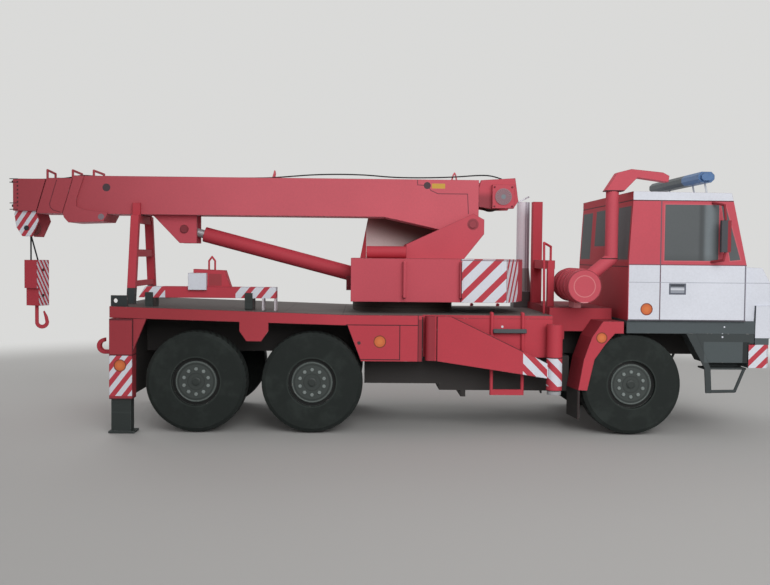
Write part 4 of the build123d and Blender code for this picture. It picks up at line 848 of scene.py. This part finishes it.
# Boom, winch and hook block.
BOOM_TIP = spot("boom_top")[0].x + 1.4
WINCH_EYE = (112.65, 86.6)
HOOK_X = HEAD_PIN[0] + 1.4
BLOCK_TURN = math.radians(26.2)
BLOCK_OUT = Vector((math.cos(BLOCK_TURN), -math.sin(BLOCK_TURN), 0.0))


def boom_print():
    """Boom with painted shade that darkens it to its head, section and cable lines, eyes, a blank plate and
    rivets; painted light on the paler underside.
    """
    head_shade_span = (20.0, -76.0)
    section_line = [(-58.1, 91.2), (-60.8, 82.2), (-60.5, 80.8), (-59.5, 79.8), (-56.8, 79.0)]
    cable_line, cable_rule = [(79.7, 92.8), (79.8, 90.9), (83.5, 90.7), (85.0, 88.8), (87.7, 87.6),
                              (99.1, 87.6), (99.5, 80.1)], 0.3
    front_eye, rear_eye, lower_eye = (-39.2, 88.6, 1.5), (83.5, 90.7, 1.35), (-41.1, 77.4, 1.15)
    plate = (85.3, 90.4, 89.6, 91.5)
    rivet_x, rivet_z, rivet_pitch, rivet_gap = (-72.9, 0.3), (85.6, 5.4), 1.5, 0.7
    bounce_light_share, tip_depth = 0.9, 0.1
    base_wire, middle_wire, head_wire, middle_end, head_end = 93.05, 92.05, 91.65, -51.3, -61.7
    seam_start, seam_z = 67.4, (78.5, 0.6)
    card = Card("boom_print", LIT_BOOM_RED)
    flank = card.flank()
    # Painted shade, deepening towards the head.
    card.lay(card.x.rise(*head_shade_span), ink("#A4424B"))
    card.lay(flank * card.route(section_line), ink("#6E2A34"))
    card.lay(flank * card.route(cable_line, cable_rule), ink("#6E3A44"))
    card.lay(flank * (card.disc(*front_eye) | card.disc(*rear_eye)), ink("#4A3A40"))
    card.lay(flank * card.disc(*lower_eye), ink("#857880"))
    card.lay(flank * card.patch(*plate), YELLOW)
    rivets = flank * card.x.near(*rivet_x) * ((card.z % rivet_pitch) < rivet_gap) * card.z.near(*rivet_z)
    card.lay(rivets, ink("#54262C"))
    # Painted light: the underside paler, as lit from the floor.
    card.lay(card.under() * bounce_light_share, ink("#D79AA6"))
    card.lay(card.x < BOOM_TIP - tip_depth, BLACK)
    wires = ((card.z > base_wire) | (card.x < middle_end) * (card.z > middle_wire)
             | (card.x < head_end) * (card.z > head_wire))
    seam = flank * (card.x > seam_start) * card.z.near(*seam_z)
    return card.finish(edge=ink("#5E222B"), edge_share=0.65, quiet=wires | seam)


def winch_print():
    """Grey round gearbox cover with spokes on the right face, shade beside the boom."""
    cover_r, spoke_r, hub_r, plain_r = 3.2, 2.9, 0.9, 4.2
    spokes, spoke_share = 3.5, 0.45
    right_y, shade_reach, shade_span, shade_share = -8.7, 4.1, (89.2, 86.0), 0.7
    card = Card("winch_print", LIT_UPPER_RED)
    reach = card.reach(*WINCH_EYE)
    angle = (card.z - WINCH_EYE[1]).math("ARCTAN2", card.x - WINCH_EYE[0])
    right_face = card.y < right_y
    beside = card.flank() * (card.x < WINCH_EYE[0] - shade_reach)
    card.lay(beside * (card.z.rise(*shade_span) * shade_share), ink("#7A353C"))
    card.lay(right_face * (reach < cover_r), ink("#98787F"))
    spoke = right_face * (reach < spoke_r) * (((angle * spokes) % 1.0) < spoke_share) * (reach > hub_r)
    card.lay(spoke, ink("#7E666D"))
    card.lay(right_face * (reach < hub_r), ink("#7D868C"))
    return card.finish(quiet=right_face * (reach < plain_r))


def head_print():
    """Striped outer plates with a dark pin, paler red between them."""
    plate_y, pin_r, slant = 6.6, 0.95, 0.667
    card = Card("head_print", RED)
    outer = abs(card.y) > plate_y
    card.hazard(card.flank() * outer, card.x - card.z * slant, pitch=3.58, start=1.12, share=0.5)
    card.lay((card.reach(*HEAD_PIN) < pin_r) * outer, ink("#2B2B30"))
    card.lay(card.flank() * (abs(card.y) < plate_y), ink("#B4525A"))
    return card.finish()


def hook_block_print():
    """Slanting stripes on the two broad faces of the turned block."""
    turned, slant = -0.2, 1.75
    card = Card("hook_block_print", RED)
    striped = (card.nx * card.ny) < turned
    run = (card.x - HOOK_X) * -BLOCK_OUT.y + card.y * BLOCK_OUT.x
    card.hazard(striped, run * slant + card.z, pitch=3.1, start=0.4, share=0.48)
    return card.finish()


dress(boom_print(), "boom_base", "boom_root", "boom_collar", "boom_middle", "boom_top")
dress(winch_print(), "winch_housing")
dress(head_print(), "head_plates")
dress(hook_block_print(), "hook_block")


# Small pieces in mesh code.
def circle(radius, count, turn=0.0):
    """Points round a circle, as pairs."""
    angles = (2 * math.pi * (i + turn) / count for i in range(count))
    return [(radius * math.cos(a), radius * math.sin(a)) for a in angles]


def skin(mesh, low, high):
    """Faces between two rings of points."""
    count = len(low)
    for i in range(count):
        mesh.faces.new((low[i], low[(i + 1) % count], high[(i + 1) % count], high[i]))


def nut(mesh, foot, axis, radius, height, sides=6):
    """A chamfered nut or bolt head standing on a face."""
    chamfer_start, crown = 0.65, 0.72
    turn = axis.normalized().to_track_quat("Z", "Y").to_matrix()
    rings = []
    for share, r in ((0.0, radius), (chamfer_start, radius), (1.0, radius * crown)):
        rings.append([mesh.verts.new(foot + turn @ Vector((u, v, share * height)))
                      for u, v in circle(r, sides)])
    for low, high in zip(rings, rings[1:]):
        skin(mesh, low, high)
    mesh.faces.new(rings[-1])
    mesh.faces.new(rings[0][::-1])


def rod_along(mesh, points, radius, sides=8, closed=False):
    """A round wire or thread through points, with mitred bends."""
    count = len(points)
    rings = []
    for i, p in enumerate(points):
        before = points[i - 1] if i or closed else p
        after = points[(i + 1) % count] if i + 1 < count or closed else p
        turn = (after - before).normalized().to_track_quat("Z", "Y").to_matrix()
        rings.append([mesh.verts.new(p + turn @ Vector((u, v, 0.0))) for u, v in circle(radius, sides)])
    for low, high in zip(rings, rings[1:]):
        skin(mesh, low, high)
    if closed:
        skin(mesh, rings[-1], rings[0])
    else:
        mesh.faces.new(rings[0][::-1])
        mesh.faces.new(rings[-1])


def smooth(points):
    """Points along the smooth line of a thread laid by its route."""
    curve = bpy.data.curves.new("thread_route", "CURVE")
    curve.dimensions = "3D"
    spline = curve.splines.new("NURBS")
    spline.points.add(len(points) - 1)
    for knot, p in zip(spline.points, points):
        knot.co = (*p, 1.0)
    spline.order_u = 3
    spline.use_endpoint_u = True
    spline.resolution_u = 4
    line = bpy.data.objects.new("thread_route", curve)
    run = bpy.data.meshes.new_from_object(line)
    places = [v.co.copy() for v in run.vertices]
    bpy.data.objects.remove(line)
    bpy.data.curves.remove(curve)
    bpy.data.meshes.remove(run)
    return places


def keep(name, mesh, material, body=None):
    """Makes a piece of the mesh, with its finish; it rides on the body when one is named."""
    bmesh.ops.recalc_face_normals(mesh, faces=mesh.faces)
    data = bpy.data.meshes.new(name)
    mesh.to_mesh(data)
    mesh.free()
    obj = bpy.data.objects.new(name, data)
    scene.collection.objects.link(obj)
    data.materials.append(material)
    if body:
        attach(obj, body)
    return obj


def make_rim_nuts():
    """Wheel nuts, hub cap and lip ring of each wheel."""
    nuts, nut_circle, nut_r, nut_h = 10, 4.5, 0.7, 0.45
    lip_circle, lip_r, lip_points, lip_sides = 7.0, 0.22, 48, 6
    cap_r, cap_h, cap_sides = 1.5, 0.5, 24
    material = nut_print()
    for station, x in STATIONS.items():
        for side, sign in SIDES.items():
            low, high = spot(f"rim_{station}_{side}")
            face = low.y if sign < 0 else high.y
            out = Vector((0.0, sign, 0.0))
            mesh = bmesh.new()
            for u, v in circle(nut_circle, nuts, turn=0.5):
                nut(mesh, at(x + u, face, WHEEL_R + v), out, nut_r * MM, nut_h * MM)
            lip = [at(x + u, face, WHEEL_R + v) for u, v in circle(lip_circle, lip_points)]
            rod_along(mesh, lip, lip_r * MM, lip_sides, closed=True)
            nut(mesh, at(x, face, WHEEL_R), out, cap_r * MM, cap_h * MM, cap_sides)
            keep(f"rim_nuts_{station}_{side}", mesh, material, f"wheel_{station}_{side}")


def make_hoist_thread():
    """The thread along the boom's top, in four pieces: the first rides on the boom, the last on the top
    section, the two between stay where they are laid.
    """
    thread_r = 0.26
    laid = spot("boom_collar")[1].z + 0.35
    on_middle, on_head = laid - 1.0, laid - 1.4
    base = [(113.3, -1.0, 94.05), (109.8, -1.2, 95.3), (104.7, -1.6, 95.5), (94.8, -1.8, 94.6),
            (85.0, -2.0, 94.2), (75.8, -2.0, 94.1), (68.5, -2.0, 94.3), (60.5, -2.0, 95.0),
            (50.0, -2.0, 95.2), (39.6, -2.0, 94.9), (32.4, -1.8, 94.3), (27.4, -1.5, 93.9),
            (20.0, -1.0, laid), (-10.0, 0.0, laid), (-45.0, -1.0, laid)]
    middle = [base[-1], (-49.0, -1.4, laid + 0.3), (-51.6, -1.5, laid + 0.2),
              (-55.0, -1.6, on_middle + 0.3), (-58.0, -1.6, on_middle)]
    top = [middle[-1], (-61.2, -1.4, on_middle + 0.1), (-64.0, -1.2, on_head), (-67.0, -1.0, on_head)]
    end = [top[-1], (-71.0, -0.5, on_head), (-74.0, 0.0, on_head - 0.1)]
    for name, route, bodies in (("base", base, ["boom"]), ("middle", middle, ["boom", "boom_middle"]),
                                ("top", top, ["boom_middle", "boom_top"]), ("end", end, ["boom_top"])):
        mesh = bmesh.new()
        rod_along(mesh, smooth([at(*p) for p in route]), thread_r * MM)
        thread = keep(f"hoist_thread_{name}", mesh, THREAD)
        if len(bodies) == 1:
            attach(thread, bodies[0])
        else:
            tuple(at(*route[0]))
            tuple(at(*route[-1]))
            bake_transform(thread)


def make_tip_wires():
    """Wire ends across the boom's tip, on both sides."""
    heights, wire_r, sunk = (91.5, 90.2, 82.3, 79.9), 0.16, 0.1
    ahead, back = 1.3, 1.9
    side_y = spot("boom_top")[1].y - sunk
    mesh = bmesh.new()
    for sign in SIDES.values():
        for z in heights:
            ends = [at(BOOM_TIP - ahead, sign * side_y, z), at(BOOM_TIP + back, sign * side_y, z)]
            rod_along(mesh, ends, wire_r * MM)
    keep("tip_wires", mesh, THREAD, "boom_top")


def make_winch_bolts():
    """Corner bolts of the winch's gearbox."""
    along, up, sunk, bolt_r, bolt_h = 3.4, 3.7, 0.4, 0.4, 0.35
    face = spot("winch_housing")[0].y + sunk
    mesh = bmesh.new()
    for dx in (-along, along):
        for dz in (-up, up):
            foot = at(WINCH_EYE[0] + dx, face, WINCH_EYE[1] + dz)
            nut(mesh, foot, Vector((0, -1, 0)), bolt_r * MM, bolt_h * MM)
    keep("winch_bolts", mesh, PIN_RED, "boom")


def make_block_bolts():
    """Bolts on the hook block's striped faces."""
    half, drop, lift, bolt_r, bolt_h = 3.2, 3.8, 4.0, 0.6, 0.4
    low, high = spot("hook_block")
    mesh = bmesh.new()
    for sign in (1, -1):
        out = BLOCK_OUT * sign
        for z in (high.z - drop, low.z + lift):
            nut(mesh, at(HOOK_X, 0, z) + out * half * MM, out, bolt_r * MM, bolt_h * MM)
    keep("block_bolts", mesh, BLACK_CARD, "hook")


def keep_bars(name, corners, material, chamfer=0.12):
    """Keeps card bars with eased edges on the chassis, each given by two corners."""
    mesh = bmesh.new()
    for low, high in ((at(*a), at(*b)) for a, b in corners):
        shape = Matrix.Translation((low + high) / 2) @ Matrix.Diagonal(high - low).to_4x4()
        made = bmesh.ops.create_cube(mesh, size=1.0, matrix=shape)
        edges = {e for v in made["verts"] for e in v.link_edges}
        bmesh.ops.bevel(mesh, geom=list(edges), offset=chamfer * MM, segments=1, affect="EDGES")
    keep(name, mesh, material, "chassis")


def mirrored(start, end, inner, outer, foot, top):
    """Corners of the same bar on the right and on the left."""
    return [((start, -outer, foot), (end, -inner, top)), ((start, inner, foot), (end, outer, top))]


make_rim_nuts()
make_hoist_thread()
make_tip_wires()
make_winch_bolts()
make_block_bolts()

# Bars: straps over the lifting beam, apron under the rear beam, boom guides, handles behind the arms.
STRAP_W, STRAP_T, STRAP_TOP = 2.8, 0.7, 49.6
STRAP_FEET = {-19.5: spot("deck")[1].z - 0.9, 16.4: 43.6}
STRAP_FACE = BEAM[0].y
keep_bars("beam_straps", [((x, STRAP_FACE - STRAP_T, foot), (x + STRAP_W, STRAP_FACE, STRAP_TOP))
                          for x, foot in STRAP_FEET.items()], LEG_BLACK)
APRON_FOOT, APRON_T = 13.3, 0.6
tail_lo, tail_hi = spot("rear_beam")
APRON = ((tail_hi.x - APRON_T, tail_lo.y, APRON_FOOT), (tail_hi.x, tail_hi.y, tail_lo.z))
keep_bars("rear_apron", [APRON], BLACK_CARD)
FINGER_FOOT = spot("boom_rest")[1].z - 1.6
FINGERS = mirrored(start=-28.95, end=-25.95, inner=8.75, outer=10.3, foot=FINGER_FOOT, top=82.8)
keep_bars("rest_fingers", FINGERS, PLAIN_RED)
HANDLES = mirrored(start=106.2, end=118.3, inner=34.1, outer=35.0, foot=36.0, top=37.6)
keep_bars("panel_handles", HANDLES, BASE_GREY, chamfer=0.2)

# Stage: pale floor that runs into the backdrop's tone, a key lamp, a fill lamp behind, weak light all round.
WALL_TONE = (0.70, 0.70, 0.69, 1.0)
FLOOR_TONE = (0.46, 0.455, 0.445, 1.0)
AMBIENT_TONE, AMBIENT = (1.0, 1.0, 1.0, 1.0), 0.47
FLOOR_R, FLOOR_DROP = 3.0, 0.0002
FADE = (0.27, 0.40)


def seen_ray(tone):
    """1 for rays from the camera, from gloss and through glass."""
    camera, gloss, glass = (tone.node("ShaderNodeLightPath", out=f"Is {kind} Ray")
                            for kind in ("Camera", "Glossy", "Transmission"))
    return camera | gloss | glass


def paper_floor():
    """Matte paper under the model that fades into the backdrop's tone."""
    paper = bpy.data.materials.new("floor_paper")
    tone = cleared(paper)
    place = tone.node("ShaderNodeTexCoord", out="Object")
    away = tone.node("ShaderNodeVectorMath", {"operation": "LENGTH"}, {0: place}, "Value")
    grain = tone.node("ShaderNodeTexNoise", None, {"Vector": place, "Scale": 30.0, "Detail": 3.0})
    matte = tone.node("ShaderNodeBsdfPrincipled", None, {
        "Base Color": FLOOR_TONE, "Roughness": 0.8 + (grain - 0.5) * 0.1, "Specular IOR Level": 0.2})
    glow = tone.node("ShaderNodeEmission", None, {"Color": WALL_TONE, "Strength": 1.0})
    mixed = tone.node("ShaderNodeMixShader", None, {0: away.rise(*FADE) * seen_ray(tone), 1: matte, 2: glow})
    tone.node("ShaderNodeOutputMaterial", None, {"Surface": mixed})
    return paper


def lay_floor():
    mesh = bmesh.new()
    bmesh.ops.create_circle(mesh, cap_ends=True, segments=96, radius=FLOOR_R)
    data = bpy.data.meshes.new("floor")
    mesh.to_mesh(data)
    mesh.free()
    data.materials.append(paper_floor())
    floor = bpy.data.objects.new("floor", data)
    floor.location.z = -FLOOR_DROP
    scene.collection.objects.link(floor)


def light_all_round():
    """Weak even light; what is seen behind the model is the backdrop's tone."""
    world = bpy.data.worlds.new("studio")
    scene.world = world
    tone = cleared(world)
    around = tone.node("ShaderNodeBackground", None, {"Color": AMBIENT_TONE, "Strength": AMBIENT})
    wall = tone.node("ShaderNodeBackground", None, {"Color": WALL_TONE, "Strength": 1.0})
    mixed = tone.node("ShaderNodeMixShader", None, {0: seen_ray(tone), 1: around, 2: wall})
    tone.node("ShaderNodeOutputWorld", None, {"Surface": mixed})


def lamp_at(name, place, target, size, power, spread, glints):
    """A soft square lamp that faces a target."""
    data = bpy.data.lights.new(name, "AREA")
    data.size = size
    data.energy = power
    data.spread = math.radians(spread)
    obj = bpy.data.objects.new(name, data)
    obj.location = place
    obj.rotation_euler = (Vector(target) - Vector(place)).to_track_quat("-Z", "Y").to_euler()
    obj.visible_glossy = glints
    scene.collection.objects.link(obj)


lay_floor()
light_all_round()
lamp_at("key", place=(0.18, -0.52, 0.30), target=(0.11, 0.0, 0.065),
        size=0.4, power=0.58, spread=84, glints=True)
lamp_at("fill", place=(-0.30, 0.62, 0.36), target=(0.0, 0.0, 0.05),
        size=0.5, power=1.1, spread=120, glints=False)

# Camera at the photograph's view.
CAMERA_PLACE = (59.482, -378.114, 63.507)
LENS, SENSOR = 44.81, 36.0
NEAREST = 0.01
YAW, PITCH, ROLL = (math.radians(a) for a in (1.265, 2.189, 0.559))
ahead = Vector((math.sin(YAW) * math.cos(PITCH), math.cos(YAW) * math.cos(PITCH), -math.sin(PITCH)))
level = Vector((math.cos(YAW), -math.sin(YAW), 0.0))
rise = level.cross(ahead)
right = math.cos(ROLL) * level + math.sin(ROLL) * rise
over = -math.sin(ROLL) * level + math.cos(ROLL) * rise
camera_data = bpy.data.cameras.new("camera")
camera_data.lens = LENS
camera_data.sensor_width = SENSOR
camera_data.sensor_fit = "HORIZONTAL"
camera_data.clip_start = NEAREST
camera = bpy.data.objects.new("camera", camera_data)
facing = Matrix((right, over, -ahead)).transposed().to_4x4()
camera.matrix_world = Matrix.Translation(at(*CAMERA_PLACE)) @ facing
scene.collection.objects.link(camera)
scene.camera = camera
scene.view_settings.view_transform = "Standard"
